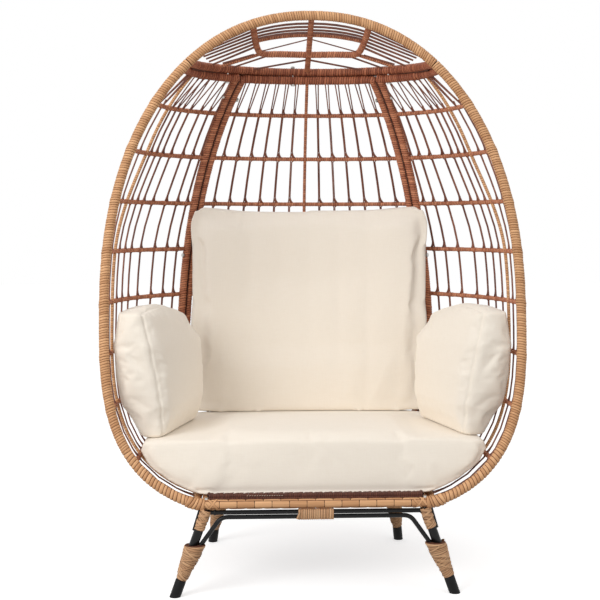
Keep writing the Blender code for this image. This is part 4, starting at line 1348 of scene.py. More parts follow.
@dataclass
class SeatBase:
    """D-shaped seat tube with its front rail, two bars and the woven deck."""

    form: ShellForm
    side_inset: float = 0.0248
    back_inset: float = 0.0275
    tube_radius: float = 0.0122
    overhang: float = 0.011
    bar_shares: tuple[float, ...] = (0.391, 0.741)
    bar_radius: float = 0.007
    brick_length: float = 0.0440
    brick_rows: int = 4
    brick_lift: float = 0.0006
    deck_z: float = 0.2593
    deck_inset: float = 0.006
    deck_strip: float = 0.0125
    pieces: list[bpy.types.Object] = field(default_factory=list)

    @property
    def half_width(self) -> float:
        """Half width of the seat tube's plan."""
        return self.form.half_width(self.form.base_z) - self.side_inset

    @property
    def depth(self) -> float:
        """Depth of the seat tube's plan."""
        return self.form.shell_depth(self.form.base_z) - self.back_inset

    def plan(self, width: float, depth: float, z: float, steps: int) -> Path:
        """Right half of a plan, from the front corner to the middle of the back."""
        power = 2.0 / self.form.seat_plan
        shift = self.form.depth_shift
        return [
            Vector((width * math.sin(a) ** power, depth * max(0.0, math.cos(a)) ** power - shift, z))
            for a in spaced(math.pi / 2, 0.0, steps)
        ]

    def build(self) -> None:
        """Builds the seat frame and the deck."""
        self.wind_tubes()
        self.lay_bricks()
        piece = joined("seat_frame_weave", self.pieces)
        smooth(piece, 60.0)
        place(piece, Slot.WICKER, "seat_frame")
        self.weave_deck()

    def wind_tubes(self) -> None:
        """Winds the D tube and its two bars."""
        winding = Winding(self.tube_radius, 0.0074, 14, 0.0008)
        right = self.plan(self.half_width, self.depth, self.form.base_z, 33)
        loop = right[:-1] + mirrored(right)[::-1]
        self.pieces.append(dress(winding.along(loop, 401), Finish.TAN_STRIP))
        bars = Winding(self.bar_radius, 0.0062, 10, 0.0006)
        for seed, share in enumerate(self.bar_shares):
            y = self.depth * share - self.form.depth_shift
            reach = self.half_width * superellipse(share, self.form.seat_plan)
            ends = [Vector((-reach, y, self.form.base_z)), Vector((reach, y, self.form.base_z))]
            self.pieces.append(dress(bars.along(ends, 410 + seed), Finish.TAN_STRIP))

    def lay_bricks(self) -> None:
        """Lays staggered lengthwise strips round the front rail, over its dark core."""
        reach = self.half_width + self.overhang
        y, z = -self.form.depth_shift, self.form.base_z
        core = turned(
            "core", [(self.tube_radius - 0.0006, 0.0), (self.tube_radius - 0.0006, 2 * reach)], 16,
            Vector((-reach, y, z)), Vector((1.0, 0.0, 0.0)),
        )
        self.pieces.append(dress(core, Finish.DECK))
        rng = np.random.default_rng(7)
        width = math.tau * self.tube_radius / self.brick_rows * 0.965
        for row in range(self.brick_rows):
            angle = math.tau * (row - 0.03) / self.brick_rows
            out = Vector((0.0, math.cos(angle), math.sin(angle)))
            start = -reach - self.brick_length * (0.5 if row % 2 else 0.0)
            while start < reach:
                ends = max(-reach, start + 0.0008), min(reach, start + self.brick_length - 0.0008)
                start += self.brick_length
                if ends[1] - ends[0] < 0.006:
                    continue
                self.brick(ends, out, width * rng.uniform(0.97, 1.01), row, int(rng.integers(90)))
        collar = Winding(0.0147, 0.0088, 16, 0.0015, 0.2, 0.35)
        bend = [(0.3250, 0.2470), (0.3120, 0.2412), (0.3010, 0.2385), (0.2900, 0.2380), (0.2790, 0.2380)]
        right = [Vector((x, y + (level - z) * math.tan(self.form.lean), level)) for x, level in bend]
        for side, path in ((1, right), (-1, mirrored(right))):
            self.pieces.append(dress(collar.along(path, 420 + side), Finish.TAN_STRIP))
            line = Vector((side * 0.2800, y, z)), Vector((side * 0.2480, y, z))
            for number, turns in enumerate((0.55, -0.55, 0.45)):
                points, facing = helix(line, (self.tube_radius + 0.0004,) * 2, turns, 1.2 + number * 2.3, 14)
                loose = ribbon(points, facing, 0.0064, 0.0014, 425 + number)
                self.pieces.append(dress(loose, Finish.TAN_STRIP))

    def brick(self, ends: tuple[float, float], out: Vector, width: float, row: int, tone: int) -> None:
        """Adds one lengthwise strip, tucked in at both of its ends."""
        y, z = -self.form.depth_shift, self.form.base_z
        shares = (0.0, 0.06, 0.2, 0.5, 0.8, 0.94, 1.0)
        path = []
        for share in shares:
            lift = self.brick_lift * (1.0 - abs(2.0 * share - 1.0) ** 6 * 1.7)
            x = ends[0] + (ends[1] - ends[0]) * share
            path.append(Vector((x, y, z)) + out * (self.tube_radius - 0.0014 + lift))
        strip = ribbon(path, [out] * len(path), width, 0.0014, tone + 100 * row, self.tube_radius - 0.0012)
        self.pieces.append(dress(strip, Finish.TAN_STRIP))

    def weave_deck(self) -> None:
        """Weaves the deck from flat strips in two directions, with a wound edge."""
        width, depth = self.half_width - self.deck_inset, self.depth - self.deck_inset
        shift, pieces = self.form.depth_shift, []
        power = self.form.seat_plan
        across, deep = int(2 * width / self.deck_strip), int(depth / self.deck_strip)
        for i in range(deep):
            y = depth * (i + 0.5) / deep
            reach = width * superellipse(y / depth, power) - 0.004
            ends = Vector((-reach, y - shift, 0.0)), Vector((reach, y - shift, 0.0))
            pieces.append(self.deck_row(*ends, across, i))
        for i in range(across):
            x = -width + 2 * width * (i + 0.5) / across
            reach = depth * superellipse(x / width, power) - 0.004
            ends = Vector((x, -shift + 0.002, 0.0)), Vector((x, reach - shift, 0.0))
            pieces.append(self.deck_row(*ends, deep, i + 1))
        edge = Winding(0.0044, 0.0052, 8, 0.0005, 0.2)
        right = self.plan(width, depth, self.deck_z, 25)
        loop = right[:-1] + mirrored(right)[::-1]
        front = [loop[-1], loop[0]]
        low_edge = [place_at + Vector((0.0, 0.0008, -0.0066)) for place_at in front]
        for seed, path in ((430, loop), (431, front), (432, low_edge)):
            pieces.append(dress(edge.along(path, seed), Finish.DECK))
        stitches = []
        for i in range(15):
            x = -width + 0.096 + i * 0.0062
            level = self.deck_z + 0.0012
            low = Vector((x, -shift - 0.0049, level - 0.0012))
            stitches.append([low, Vector((x + 0.0031, -shift - 0.0052, level))])
        pieces.append(dress(strands("stitches", stitches, 0.0006), Finish.SEAM))
        piece = joined("deck_weave", pieces)
        smooth(piece, 50.0)
        place(piece, Slot.WEAVE, "seat_deck")

    def deck_row(self, start: Vector, end: Vector, count: int, index: int) -> bpy.types.Object:
        """One strip of the deck, which passes over and under the strips that cross it."""
        steps = max(4, int((end - start).length / self.deck_strip) * 2)
        path = []
        for share in spaced(0.0, 1.0, steps + 1):
            spot = start.lerp(end, share)
            wave = math.sin(math.pi * ((spot - start).length / self.deck_strip + index))
            path.append(Vector((spot.x, spot.y, self.deck_z + 0.0016 * wave)))
        up = [Vector((0.0, 0.0, 1.0))] * len(path)
        return dress(ribbon(path, up, self.deck_strip * 0.88, 0.0014, index * 7 + count), Finish.DECK)


# ---- Legs ----------------------------------------------------------------------


@dataclass
class LegPair:
    """Two splayed legs with their crossbar, brace rod, feet and bindings.

    Attributes:
        form: The egg's surface, for its depth shift and base height.
        end: "front" or "rear", as the CAD nodes are named.
        top: Where the right leg's axis meets the seat tube's axis.
        splay: How far the foot stands out from there, along X and Y.
    """

    form: ShellForm
    end: str
    top: Vector
    splay: tuple[float, float]
    seat_tube_radius: float = 0.0122
    leg_radius: float = 0.0117
    bar_radius: float = 0.0058
    upper_bar_drop: float = 0.0211
    lower_bar_drop: float = 0.0335
    bend_share: float = 0.845
    brace_foot_z: float = 0.095
    cap_radius: float = 0.0136
    cap_height: float = 0.047
    lower_wrap: tuple[float, float] = (0.046, 0.134)
    lower_radii: tuple[float, float] = (0.0150, 0.0270)
    lower_shift: float = 0.004
    upper_wrap: tuple[float, float] = (0.174, 0.1895)
    upper_radius: float = 0.0134
    bar_wrap_half: float = 0.045
    seed: int = 500

    def line(self) -> tuple[Vector, Vector]:
        """Ends of the right leg's axis, from under the seat tube to the floor."""
        foot = Vector((self.top.x + self.splay[0], self.top.y + self.splay[1], 0.0))
        return self.top - Vector((0.0, 0.0, self.seat_tube_radius + 0.0003)), foot

    def on_leg(self, z: float) -> Vector:
        """Point of the right leg's axis at a height."""
        top, foot = self.line()
        return foot.lerp(top, z / top.z)

    def build(self) -> None:
        """Builds the frame, the feet and the bindings."""
        self.build_frame()
        for side, name in ((1, "right"), (-1, "left")):
            self.build_foot(side, name)
            self.build_lower_binding(side, name)
            self.build_upper_binding(side, name)
        self.build_bar_binding()

    def at_side(self, points: Sequence[Vector], side: int) -> Path:
        """The points on the right (1) or reflected to the left (-1)."""
        return list(points) if side > 0 else mirrored(points)

    def build_frame(self) -> None:
        """Joins two legs, the crossbar, the bent brace rod, their welds and the outer rods."""
        pieces = []
        upper = self.on_leg(self.form.base_z - self.upper_bar_drop)
        bend = self.on_leg(self.form.base_z - self.lower_bar_drop)
        bend.x *= self.bend_share
        brace_foot = self.on_leg(self.brace_foot_z) + Vector((-0.0046, 0.0, 0.0))
        left_bend = Vector((-bend.x, bend.y, bend.z))
        left_foot = Vector((-brace_foot.x, brace_foot.y, brace_foot.z))
        brace = [brace_foot, *rounded_corner(brace_foot, bend, left_bend, 0.017)]
        brace += [*rounded_corner(bend, left_bend, left_foot, 0.017), left_foot]
        for side in (1, -1):
            top, foot = self.at_side((self.on_leg(self.line()[0].z - 0.001), self.on_leg(0.0085)), side)
            radius = self.leg_radius
            profile = [(radius - 0.0008, 0.0), (radius, 0.0012), (radius, (top - foot).length)]
            pieces.append(turned("leg", profile, 28, foot, top - foot))
            weld_at = self.at_side([upper], side)[0]
            weld_at.x -= side * (self.leg_radius + 0.0006)
            weld = [(0.0064, -0.0030), (0.0078, 0.0), (0.0062, 0.0026), (0.0049, 0.0040)]
            pieces.append(turned("weld", weld, 16, weld_at, Vector((-side, 0.0, 0.0))))
        pieces.append(strands("crossbar", [[upper, mirrored([upper])[0]]], self.bar_radius, 4))
        pieces.append(strands("brace", [brace], self.bar_radius, 4))
        if self.end == "front":
            high, low = self.on_leg(0.2230), self.on_leg(0.172)
            for side in (1, -1):
                rod = [high + Vector((0.0165, 0.0, 0.0)), low + Vector((0.0135, 0.0, 0.0))]
                pieces.append(strands("outer_rod", [self.at_side(rod, side)], 0.0036, 3))
        piece = joined(f"{self.end}_leg_tubes", [dress(item, Finish.STEEL) for item in pieces])
        smooth(piece, 40.0)
        place(piece, Slot.STEEL, f"{self.end}_leg_frame")

    def build_foot(self, side: int, name: str) -> None:
        """Turns a rubber foot with a rounded lip and a floor edge, cut level with the floor."""
        top, foot = self.at_side(self.line(), side)
        radius, high = self.cap_radius, self.cap_height
        inside = self.leg_radius + 0.0002
        profile = [
            (radius - 0.0010, -0.012), (radius, -0.004), (radius, 0.004), (radius - 0.0004, 0.006),
            (radius - 0.0004, 0.0075), (radius, 0.0095), (radius, high - 0.0032),
            (radius - 0.0008, high - 0.0009), (radius - 0.0022, high), (inside, high - 0.0006),
            (inside, high - 0.006),
        ]
        cap = turned(f"{self.end}_foot_{name}", profile, 32, foot, top - foot)
        floor = {"plane_co": (0.0, 0.0, 0.0001), "plane_no": (0.0, 0.0, 1.0)}
        with editing(cap):
            bpy.ops.mesh.bisect(**floor, use_fill=True, clear_inner=True)
        dress(cap, Finish.RUBBER)
        smooth(cap, 40.0)
        place(cap, Slot.RUBBER, f"{self.end}_foot_cap_{name}")

    def build_lower_binding(self, side: int, name: str) -> None:
        """Winds the tapered binding where the brace meets the leg, crossed by loose strips."""
        low, high = self.on_leg(self.lower_wrap[0]), self.on_leg(self.lower_wrap[1])
        high.x -= self.lower_shift
        axis = self.at_side((low, high), side)
        self.seed += 10
        radii = self.lower_radii
        core = Winding(radii[1] - 0.0014, 0.0058, 22, 0.0010, 0.3, 0.22)
        taper = (radii[0] - 0.0014) / (radii[1] - 0.0014)
        body = core.along(axis, self.seed)
        self.narrow(body, axis, taper)
        pieces = [dress(body, Finish.STRAW_STRIP)]
        rng = np.random.default_rng(self.seed)
        for i in range(9):
            start, end = sorted(rng.uniform(0.0, 0.93, 2))
            end = min(0.93, max(end, start + 0.35))
            start = min(start, end - 0.35)
            span = (axis[0].lerp(axis[1], start), axis[0].lerp(axis[1], end))
            grown = tuple(radii[0] + (radii[1] - radii[0]) * s - 0.0009 for s in (start, end))
            turns = (1 if i % 2 else -1) * rng.uniform(0.5, 1.1)
            points, facing = helix(span, grown, turns, rng.uniform(0.0, math.tau), 22)
            strip = ribbon(points, facing, rng.uniform(0.0042, 0.0060), 0.0011, self.seed + i)
            pieces.append(dress(strip, Finish.STRAW_STRIP))
        piece = joined(f"{self.end}_lower_wrap_{name}", pieces)
        smooth(piece, 55.0)
        place(piece, Slot.PALE, f"{self.end}_lower_binding_{name}")

    @staticmethod
    def narrow(piece: bpy.types.Object, axis: Sequence[Vector], foot_share: float) -> None:
        """Tapers a wound tube towards the start of its axis, and levels its far edge.

        Args:
            piece: The wound tube.
            axis: Its two ends.
            foot_share: Share of the radius that is left at the start.
        """
        low, high = axis
        span = high - low
        for vertex in piece.data.vertices:
            share = max(0.0, min(1.0, (vertex.co - low).dot(span) / span.length_squared))
            middle = low.lerp(high, share)
            size = foot_share + (1.0 - foot_share) * min(1.0, share / 0.96)
            size -= 0.05 * max(0.0, (share - 0.95) / 0.05) ** 2
            offset = (vertex.co - middle) * size
            vertex.co = middle + offset - span * (offset.z / span.z * share)

    def build_upper_binding(self, side: int, name: str) -> None:
        """Winds the slanted binding below the rail, and the crossed one round the joint above it."""
        self.seed += 10
        axis = self.at_side([self.on_leg(z) for z in self.upper_wrap], side)
        winding = Winding(self.upper_radius, 0.0060, 18, 0.0010, 0.2, 0.55 * side)
        pieces = [dress(winding.along(axis, self.seed), Finish.STRAW_STRIP)]
        joint = self.at_side([self.on_leg(0.1890), self.on_leg(0.2245)], side)
        core = Winding(self.upper_radius - 0.0004, 0.0062, 18, 0.0009, 0.2, -0.4 * side)
        pieces.append(dress(core.along(joint, self.seed + 1), Finish.STRAW_STRIP))
        for i, turns in enumerate((1.2, -1.2, 1.1, -1.1)):
            points, facing = helix((joint[0], joint[1]), (self.upper_radius,) * 2, turns, i * 1.7, 26)
            loose = ribbon(points, facing, 0.0066, 0.0014, self.seed + 2 + i)
            pieces.append(dress(loose, Finish.STRAW_STRIP))
        piece = joined(f"{self.end}_upper_wrap_{name}", pieces)
        smooth(piece, 55.0)
        place(piece, Slot.PALE, f"{self.end}_upper_binding_{name}")

    def build_bar_binding(self) -> None:
        """Winds the binding that ties the two bars together in the middle."""
        self.seed += 10
        top = self.on_leg(self.form.base_z - self.upper_bar_drop)
        low = self.on_leg(self.form.base_z - self.lower_bar_drop)
        middle = (top + low) / 2
        reach = self.bar_wrap_half
        ends = [Vector((-reach, middle.y, middle.z)), Vector((reach, middle.y, middle.z))]
        winding = Winding(self.bar_radius + 0.0025, 0.0056, 16, 0.0012, 0.22, 0.05)
        body = winding.along(ends, self.seed)
        half = (top.z - low.z) / 2
        lean = (top.y - low.y) / 2
        for vertex in body.data.vertices:
            rise = vertex.co.z - middle.z
            share = max(-1.0, min(1.0, rise / 0.003))
            vertex.co.z += half * share
            vertex.co.y += lean * share
        pieces = [dress(body, Finish.STRAW_STRIP)]
        start = Vector((-reach + 0.004, middle.y - self.bar_radius - 0.0025, middle.z + half))
        tail = [start + Vector((-0.0009 * i, -0.0002 * i, -0.0021 * i)) for i in range(9)]
        forward = [Vector((0.0, -1.0, 0.0))] * len(tail)
        pieces.append(dress(ribbon(tail, forward, 0.0050, 0.0010, self.seed), Finish.STRAW_STRIP))
        piece = joined(f"{self.end}_bar_wrap", pieces)
        smooth(piece, 55.0)
        place(piece, Slot.PALE, f"{self.end}_bar_binding")


# ---- Cushions ------------------------------------------------------------------


@dataclass
class Cushion:
    """Stuffed cushion: the CAD solid blown up as cloth, with sewn seams along its edges.

    Attributes:
        node: The CAD node that it stands for.
        voxel: Size of its mesh's squares before the last subdivision.
        swell: Furthest that an open face may bulge.
        inset: How far the cloth starts inside the solid.
        bare: Tells how open a place is, from 0 against a neighbour to 1 in the open.
        seams: Paths of its seams, near its surface.
        pressure: Pressure of the filling.
        fill: How tight it is stuffed; not used.
        frames: Steps of the simulation.
        mould: Gives how far a point of the solid is drawn before it is stuffed.
    """

    node: str
    voxel: float
    swell: float
    bare: Callable[[np.ndarray, np.ndarray], np.ndarray]
    seams: list[Path] = field(default_factory=list)
    inset: float = 0.004
    pressure: float = 4.0
    fill: float = 0.75
    frames: int = 20
    mould: Callable[[Vector], Vector] | None = None

    def build(self) -> bpy.types.Object:
        """Builds the cushion and its seams, in place of the CAD node."""
        piece = self.copy_of_solid()
        self.blow_up(piece)
        self.round_off(piece)
        self.sew(piece)
        dress(piece, Finish.CLOTH)
        smooth(piece, 80.0)
        place(piece, Slot.FABRIC, self.node)
        return piece

    def copy_of_solid(self) -> bpy.types.Object:
        """Copies the CAD solid's mesh and remeshes it evenly."""
        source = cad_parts[self.node]
        piece = new_object(f"{self.node}_cloth", source.data.copy())
        piece.data.name = piece.name
        with editing(piece):
            bpy.ops.mesh.remove_doubles(threshold=0.0001)
            bpy.ops.mesh.normals_make_consistent(inside=False)
        even = piece.modifiers.new("even", "REMESH")
        even.mode = "VOXEL"
        even.voxel_size = self.voxel
        ease = piece.modifiers.new("ease", "SMOOTH")
        ease.factor, ease.iterations = 0.5, 5
        apply_all(piece)
        for vertex in piece.data.vertices if self.mould else ():
            vertex.co += self.mould(vertex.co)
        return piece

    @staticmethod
    def shape(piece: bpy.types.Object) -> tuple[np.ndarray, np.ndarray]:
        """Places and normals of a piece's vertices."""
        count = len(piece.data.vertices)
        places, normals = np.empty(count * 3), np.empty(count * 3)
        piece.data.vertices.foreach_get("co", places)
        piece.data.vertices.foreach_get("normal", normals)
        return places.reshape(-1, 3), normals.reshape(-1, 3)

    def blow_up(self, piece: bpy.types.Object) -> None:
        """Fills the cloth with air, then holds every point within its own reach."""
        scene = bpy.context.scene
        base, normals = self.shape(piece)
        start = base - normals * self.inset * self.bare(base, normals)[:, None]
        piece.data.vertices.foreach_set("co", start.reshape(-1))
        cloth = piece.modifiers.new("cloth", "CLOTH")
        settings = cloth.settings
        settings.use_pressure = True
        settings.uniform_pressure_force = self.pressure
        settings.effector_weights.gravity = 0.0
        settings.tension_stiffness = settings.compression_stiffness = 12.0
        settings.shear_stiffness = 6.0
        settings.bending_stiffness = 0.4
        settings.quality = 5
        settings.shrink_min = -0.02
        cloth.collision_settings.use_collision = False
        for number in range(1, self.frames + 1):
            scene.frame_set(number)
        choose(piece)
        bpy.ops.object.modifier_apply(modifier="cloth")
        scene.frame_set(1)
        blown, _ = self.shape(piece)
        moved = blown - base
        length = np.linalg.norm(moved, axis=1)
        reach = self.swell * self.bare(base, normals) + 0.0002
        held = reach * np.tanh(length / reach) / np.maximum(length, 1e-9)
        piece.data.vertices.foreach_set("co", (base + moved * held[:, None]).reshape(-1))
        piece.data.update()

    def round_off(self, piece: bpy.types.Object) -> None:
        """Adds one subdivision, which rounds the squares of the remeshed cloth."""
        finer = piece.modifiers.new("finer", "SUBSURF")
        finer.levels = finer.render_levels = 1
        apply_all(piece)

    def sew(self, piece: bpy.types.Object) -> None:
        """Draws the cloth in along each seam, deepest at the seam itself."""
        if not self.seams:
            return
        places, normals = self.shape(piece)
        cloth = KDTree(len(places))
        for i, spot in enumerate(places):
            cloth.insert(spot, i)
        cloth.balance()
        lines = [[cloth.find(corner)[0] for corner in resampled(path, 0.012)] for path in self.seams]
        marks = np.array([tuple(p) for path in lines for p in resampled(path, 0.003)])
        tree = KDTree(len(marks))
        for i, mark in enumerate(marks):
            tree.insert(mark, i)
        tree.balance()
        away = np.array([tree.find(place_at)[2] for place_at in places])
        depth = 0.0032 * np.exp(-((away / 0.0042) ** 2)) + 0.0016 * np.exp(-((away / 0.014) ** 2))
        piece.data.vertices.foreach_set("co", (places - normals * depth[:, None]).reshape(-1))
        piece.data.update()


# ---- Studio ------------------------------------------------------------------


@dataclass(frozen=True)
class Studio:
    """White floor, soft lamps and the camera."""

    lens: float = 67.06
    distance: float = 2.782
    camera_height: float = 0.935
    yaw: float = math.radians(3.4)
    focal_px: float = 1117.6
    centre_px: float = 316.2
    horizon_px: float = 226.45
    half_frame_px: float = 300.0

    def build(self, depth_shift: float) -> None:
        """Adds the floor, the lamps, the world and the camera."""
        self.add_floor()
        self.add_world()
        self.add_lamp("key", (-2.5, -2.8, 2.2), 2.0, 82.0)
        self.add_lamp("fill", (2.6, -2.2, 2.0), 2.4, 16.0)
        self.add_lamp("top", (0.0, -0.4, 3.6), 2.2, 12.0)
        self.add_camera(depth_shift)
        scene = bpy.context.scene
        scene.view_settings.view_transform = "Standard"

    def add_floor(self) -> None:
        """Adds the pale floor, which keeps the chair's shadow."""
        deselect()
        bpy.ops.mesh.primitive_plane_add(size=30.0, location=(0.0, 0.0, 0.0))
        floor = bpy.context.object
        floor.name = floor.data.name = "floor"
        made, nodes, shader = new_material("pale_floor")
        shader.inputs["Roughness"].default_value = 0.9
        shader.inputs["Specular IOR Level"].default_value = 0.1
        ray = nodes.add("ShaderNodeLightPath")
        seen = nodes.math("MAXIMUM", ray.outputs["Is Camera Ray"], ray.outputs["Is Glossy Ray"])
        nodes.feed(shader.inputs["Base Color"], nodes.mix(seen, (0.36, 0.34, 0.32), (0.84, 0.84, 0.84)))
        shader.inputs["Emission Color"].default_value = (1.0, 1.0, 1.0, 1.0)
        nodes.feed(shader.inputs["Emission Strength"], nodes.math("MULTIPLY", seen, 0.55))
        floor.data.materials.append(made)

    def add_world(self) -> None:
        """Lights the air softly and shows white behind the chair."""
        world = bpy.data.worlds.new("studio")
        bpy.context.scene.world = world
        world.use_nodes = True
        nodes = Nodes(world.node_tree)
        back = world.node_tree.nodes["Background"]
        ray = nodes.add("ShaderNodeLightPath")
        seen = nodes.math("MAXIMUM", ray.outputs["Is Camera Ray"], ray.outputs["Is Glossy Ray"])
        seen = nodes.math("MAXIMUM", seen, ray.outputs["Is Transmission Ray"])
        back.inputs["Color"].default_value = (1.0, 1.0, 1.0, 1.0)
        nodes.feed(back.inputs["Strength"], nodes.math("MULTIPLY_ADD", seen, 0.45, 0.55))

    @staticmethod
    def add_lamp(name: str, place_at: Place, size: float, watts: float) -> None:
        """Adds a square area lamp that faces the chair."""
        lamp = bpy.data.lights.new(name, "AREA")
        lamp.size = size
        lamp.energy = watts
        holder = new_object(name, lamp)
        holder.location = place_at
        towards = Vector((0.0, 0.0, 0.7)) - Vector(place_at)
        holder.rotation_euler = towards.to_track_quat("-Z", "Y").to_euler()

    def add_camera(self, depth_shift: float) -> None:
        """Adds the camera at the photograph's viewpoint."""
        data = bpy.data.cameras.new("camera")
        data.lens = self.lens
        data.sensor_width = 36.0
        camera = new_object("camera", data)
        x, y = -self.distance * math.sin(self.yaw), -self.distance * math.cos(self.yaw) - depth_shift
        camera.location = (x, y, self.camera_height)
        axis = self.yaw - math.atan((self.centre_px - self.half_frame_px) / self.focal_px)
        pitch = math.atan((self.half_frame_px - self.horizon_px) / self.focal_px)
        level = math.cos(pitch)
        sight = Vector((math.sin(axis) * level, math.cos(axis) * level, -math.sin(pitch)))
        camera.rotation_euler = sight.to_track_quat("-Z", "Y").to_euler()
        bpy.context.scene.camera = camera


@dataclass
class CushionSet:
    """The four loose cushions, the seams of the seat and the arms, and the places where neighbours hold each
    flat.
    """

    form: ShellForm
    arm_turn: float = 22.0
    arm_inset: float = 0.022
    arm_front: float = 0.2413
    arm_front_edge: Sequence[Place] = (
        (0.3910, -0.2360, 0.392),
        (0.4150, -0.2490, 0.471),
        (0.4280, -0.2490, 0.551),
        (0.4330, -0.2490, 0.632),
        (0.4400, -0.2360, 0.711),
    )
    arm_top_edge: Sequence[Place] = ((0.4400, -0.2360, 0.711), (0.4000, -0.1360, 0.712), (0.3650, -0.0500, 0.712))

    def build(self) -> None:
        """Builds the seat, the back and both arms."""
        self.seat().build()
        self.back().build()
        right = self.arm().build()
        left = reflection(right, "arm_cushion_left_cloth")
        place(left, Slot.FABRIC, "arm_cushion_left")

    def seat(self) -> Cushion:
        """The seat: open in front and in the middle of its top, flat under the other cushions."""

        def bare(places: np.ndarray, normals: np.ndarray) -> np.ndarray:
            """Open share of each point of the seat."""
            side = 1.0 - eased(np.abs(places[:, 0]), 0.20, 0.29)
            back = 1.0 - eased(places[:, 1], 0.02, 0.11)
            top = np.maximum(side * back, 1.0 - eased(places[:, 1], -0.30, -0.262))
            front = eased(-normals[:, 1], 0.2, 0.7)
            up = eased(normals[:, 2], 0.3, 0.8)
            under = eased(-normals[:, 2], 0.55, 0.9)
            return np.clip(np.maximum(top * up, front) * (1.0 - under) + 0.12, 0.0, 1.0)

        return Cushion("seat_cushion", 0.0085, 0.016, bare, self.seat_seams(), mould=self.seat_mould)

    @staticmethod
    def seat_mould(spot: Vector) -> Vector:
        """Fills the seat's sides and lets its front hang a little over the deck."""
        side = eased(abs(spot.x), 0.24, 0.40)
        front = eased(-spot.y, 0.20, 0.29)
        low = 1.0 - eased(spot.z, 0.264, 0.310)
        middle = 1.0 - (spot.x / 0.44) ** 2
        crown = 0.006 * middle * eased(spot.z, 0.36, 0.39) * (1.0 - eased(abs(spot.y + 0.1), 0.08, 0.20))
        return Vector((math.copysign(0.012, spot.x) * side, -0.009 * front, crown - 0.008 * front * low))

    def seat_seams(self) -> list[Path]:
        """Seam along the bottom edge of the seat's front."""
        low = Vector(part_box("seat_cushion")[0])
        y = self.seat_front(low.z + 0.010) + 0.002
        return [[Vector((x, y, low.z + 0.004)) for x in spaced(-0.300, 0.300, 24)]]

    def seat_front(self, z: float) -> float:
        """Depth of the seat's front face at a height."""
        return 0.003 + self.form.rim_depth(z)

    def back(self) -> Cushion:
        """The back: open in front and above, flat against the seat and the panel behind it."""

        def bare(places: np.ndarray, normals: np.ndarray) -> np.ndarray:
            """Open share of each point of the back."""
            low = eased(places[:, 2], 0.39, 0.56)
            front = eased(-normals[:, 1], 0.0, 0.6)
            top = eased(normals[:, 2], 0.3, 0.8)
            edge = eased(np.abs(normals[:, 0]), 0.4, 0.9)
            arms = eased(np.abs(places[:, 0]), 0.27, 0.34) * (1.0 - eased(places[:, 2], 0.66, 0.74))
            seen = np.maximum(np.maximum(front, top), 0.5 * edge)
            return np.clip(seen * low * (1.0 - arms) + 0.1, 0.0, 1.0)

        return Cushion("back_cushion", 0.0085, 0.014, bare, mould=self.back_mould)

    @staticmethod
    def back_mould(spot: Vector) -> Vector:
        """Crowns the back's front, lifts its top corners and draws its sides in between them."""
        across, rise = spot.x / 0.342, (spot.z - 0.390) / 0.595
        waist = math.sin(math.pi * min(1.0, max(0.0, rise)))
        face = 1.0 - eased(spot.y, 0.19 - 0.065 * across ** 2, 0.24 - 0.065 * across ** 2)
        crown = 0.014 * face * waist ** 0.6 * max(0.0, 1.0 - across ** 2)
        top = eased(rise, 0.80, 1.0) * (0.007 + 0.011 * abs(across) ** 3 + (0.004 if spot.x > 0 else 0.0))
        corner = 0.013 * eased(abs(across), 0.88, 1.0) * eased(rise, 0.90, 1.0)
        aside = 0.008 + 0.003 * across ** 3 * waist - math.copysign(corner, across)
        return Vector((aside, -crown, top - corner))

    def arm(self) -> Cushion:
        """The right arm: open towards the sitter, above and in front."""

        def bare(places: np.ndarray, normals: np.ndarray) -> np.ndarray:
            """Open share of each point of the arm."""
            low = eased(places[:, 2], 0.405, 0.45)
            outer = eased(normals[:, 0], 0.45, 0.8)
            rear = eased(places[:, 1], 0.01, 0.05) * eased(normals[:, 1], 0.3, 0.8)
            return np.clip(low * (1.0 - 0.85 * outer) * (1.0 - 0.8 * rear) + 0.08, 0.0, 1.0)

        seams = []
        for edge in (self.arm_front_edge, self.arm_top_edge):
            points = resampled([Vector(corner) for corner in edge], 0.01)
            seams.append([corner + self.arm_mould(corner) for corner in points])
        return Cushion("arm_cushion_right", 0.0065, 0.007, bare, seams, mould=self.arm_mould)

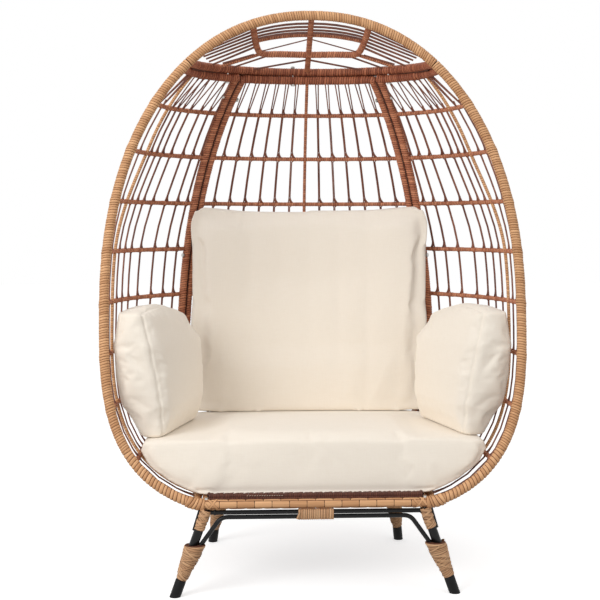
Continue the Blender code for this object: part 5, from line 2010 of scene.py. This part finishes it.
    def arm_mould(self, spot: Vector) -> Vector:
        """Swells the arm's inner face, rounds its rear end and lifts the middle of its top."""
        turn = math.radians(self.arm_turn)
        away = Vector((spot.x - self.form.half_width(spot.z) + self.arm_inset, spot.y + self.arm_front, 0.0))
        run = (away.x * -math.sin(turn) + away.y * math.cos(turn)) / 0.315
        side = min(1.0, max(0.0, (away.x * -math.cos(turn) - away.y * math.sin(turn)) / 0.082))
        rise = (spot.z - 0.390) / 0.322
        heights = (0.0, 0.1, 0.25, 0.5, 0.75, 1.0)
        front = np.interp(rise, heights, (0.010, 0.020, 0.030, 0.030, 0.019, 0.004))
        rear = np.interp(rise, heights, (-0.034, -0.012, 0.012, 0.029, 0.026, -0.004))
        share = min(1.0, max(0.0, run))
        waist = math.sin(math.pi * min(1.0, max(0.0, rise)))
        swell = front + (rear - front) * share + 0.008 * math.sin(math.pi * share) * waist
        outer = 0.009 * (1.0 - side) * eased(rise, 0.12, 0.35)
        top = eased(rise, 0.72, 1.0) * (0.022 * math.sin(math.pi * share) - 0.016 * share ** 3)
        forward = -0.006 * (1.0 - eased(run, 0.0, 0.25)) * waist
        lift = 0.010 * share * side * (1.0 - eased(rise, 0.0, 0.15))
        return Vector((-swell * side + outer, forward, top + lift))


def main() -> None:
    """Builds the chair's pieces in order, then the studio."""
    logging.basicConfig(level=logging.INFO, format="%(name)s %(message)s")
    form = ShellForm()
    Studio().build(form.depth_shift)
    SidePanel(form, seed=100, top_splay=0.0).build()
    BackPanel(form, seed=200).build()
    RoofPanel(form, seed=300).build()
    seat = SeatBase(form)
    seat.build()
    front_top = Vector((seat.half_width, -form.depth_shift, form.base_z))
    LegPair(form, "front", front_top, FRONT_SPLAY, seed=500).build()
    rear_y = seat.depth * REAR_LEG_SHARE
    rear_x = seat.half_width * superellipse(rear_y / seat.depth, form.seat_plan)
    rear_top = Vector((rear_x, rear_y - form.depth_shift, form.base_z))
    LegPair(form, "rear", rear_top, REAR_SPLAY, seed=700).build()
    CushionSet(form).build()
    for name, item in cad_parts.items():
        if "bolt" in name:
            dress(item, Finish.BOLT)


if __name__ == "__main__":
    main()
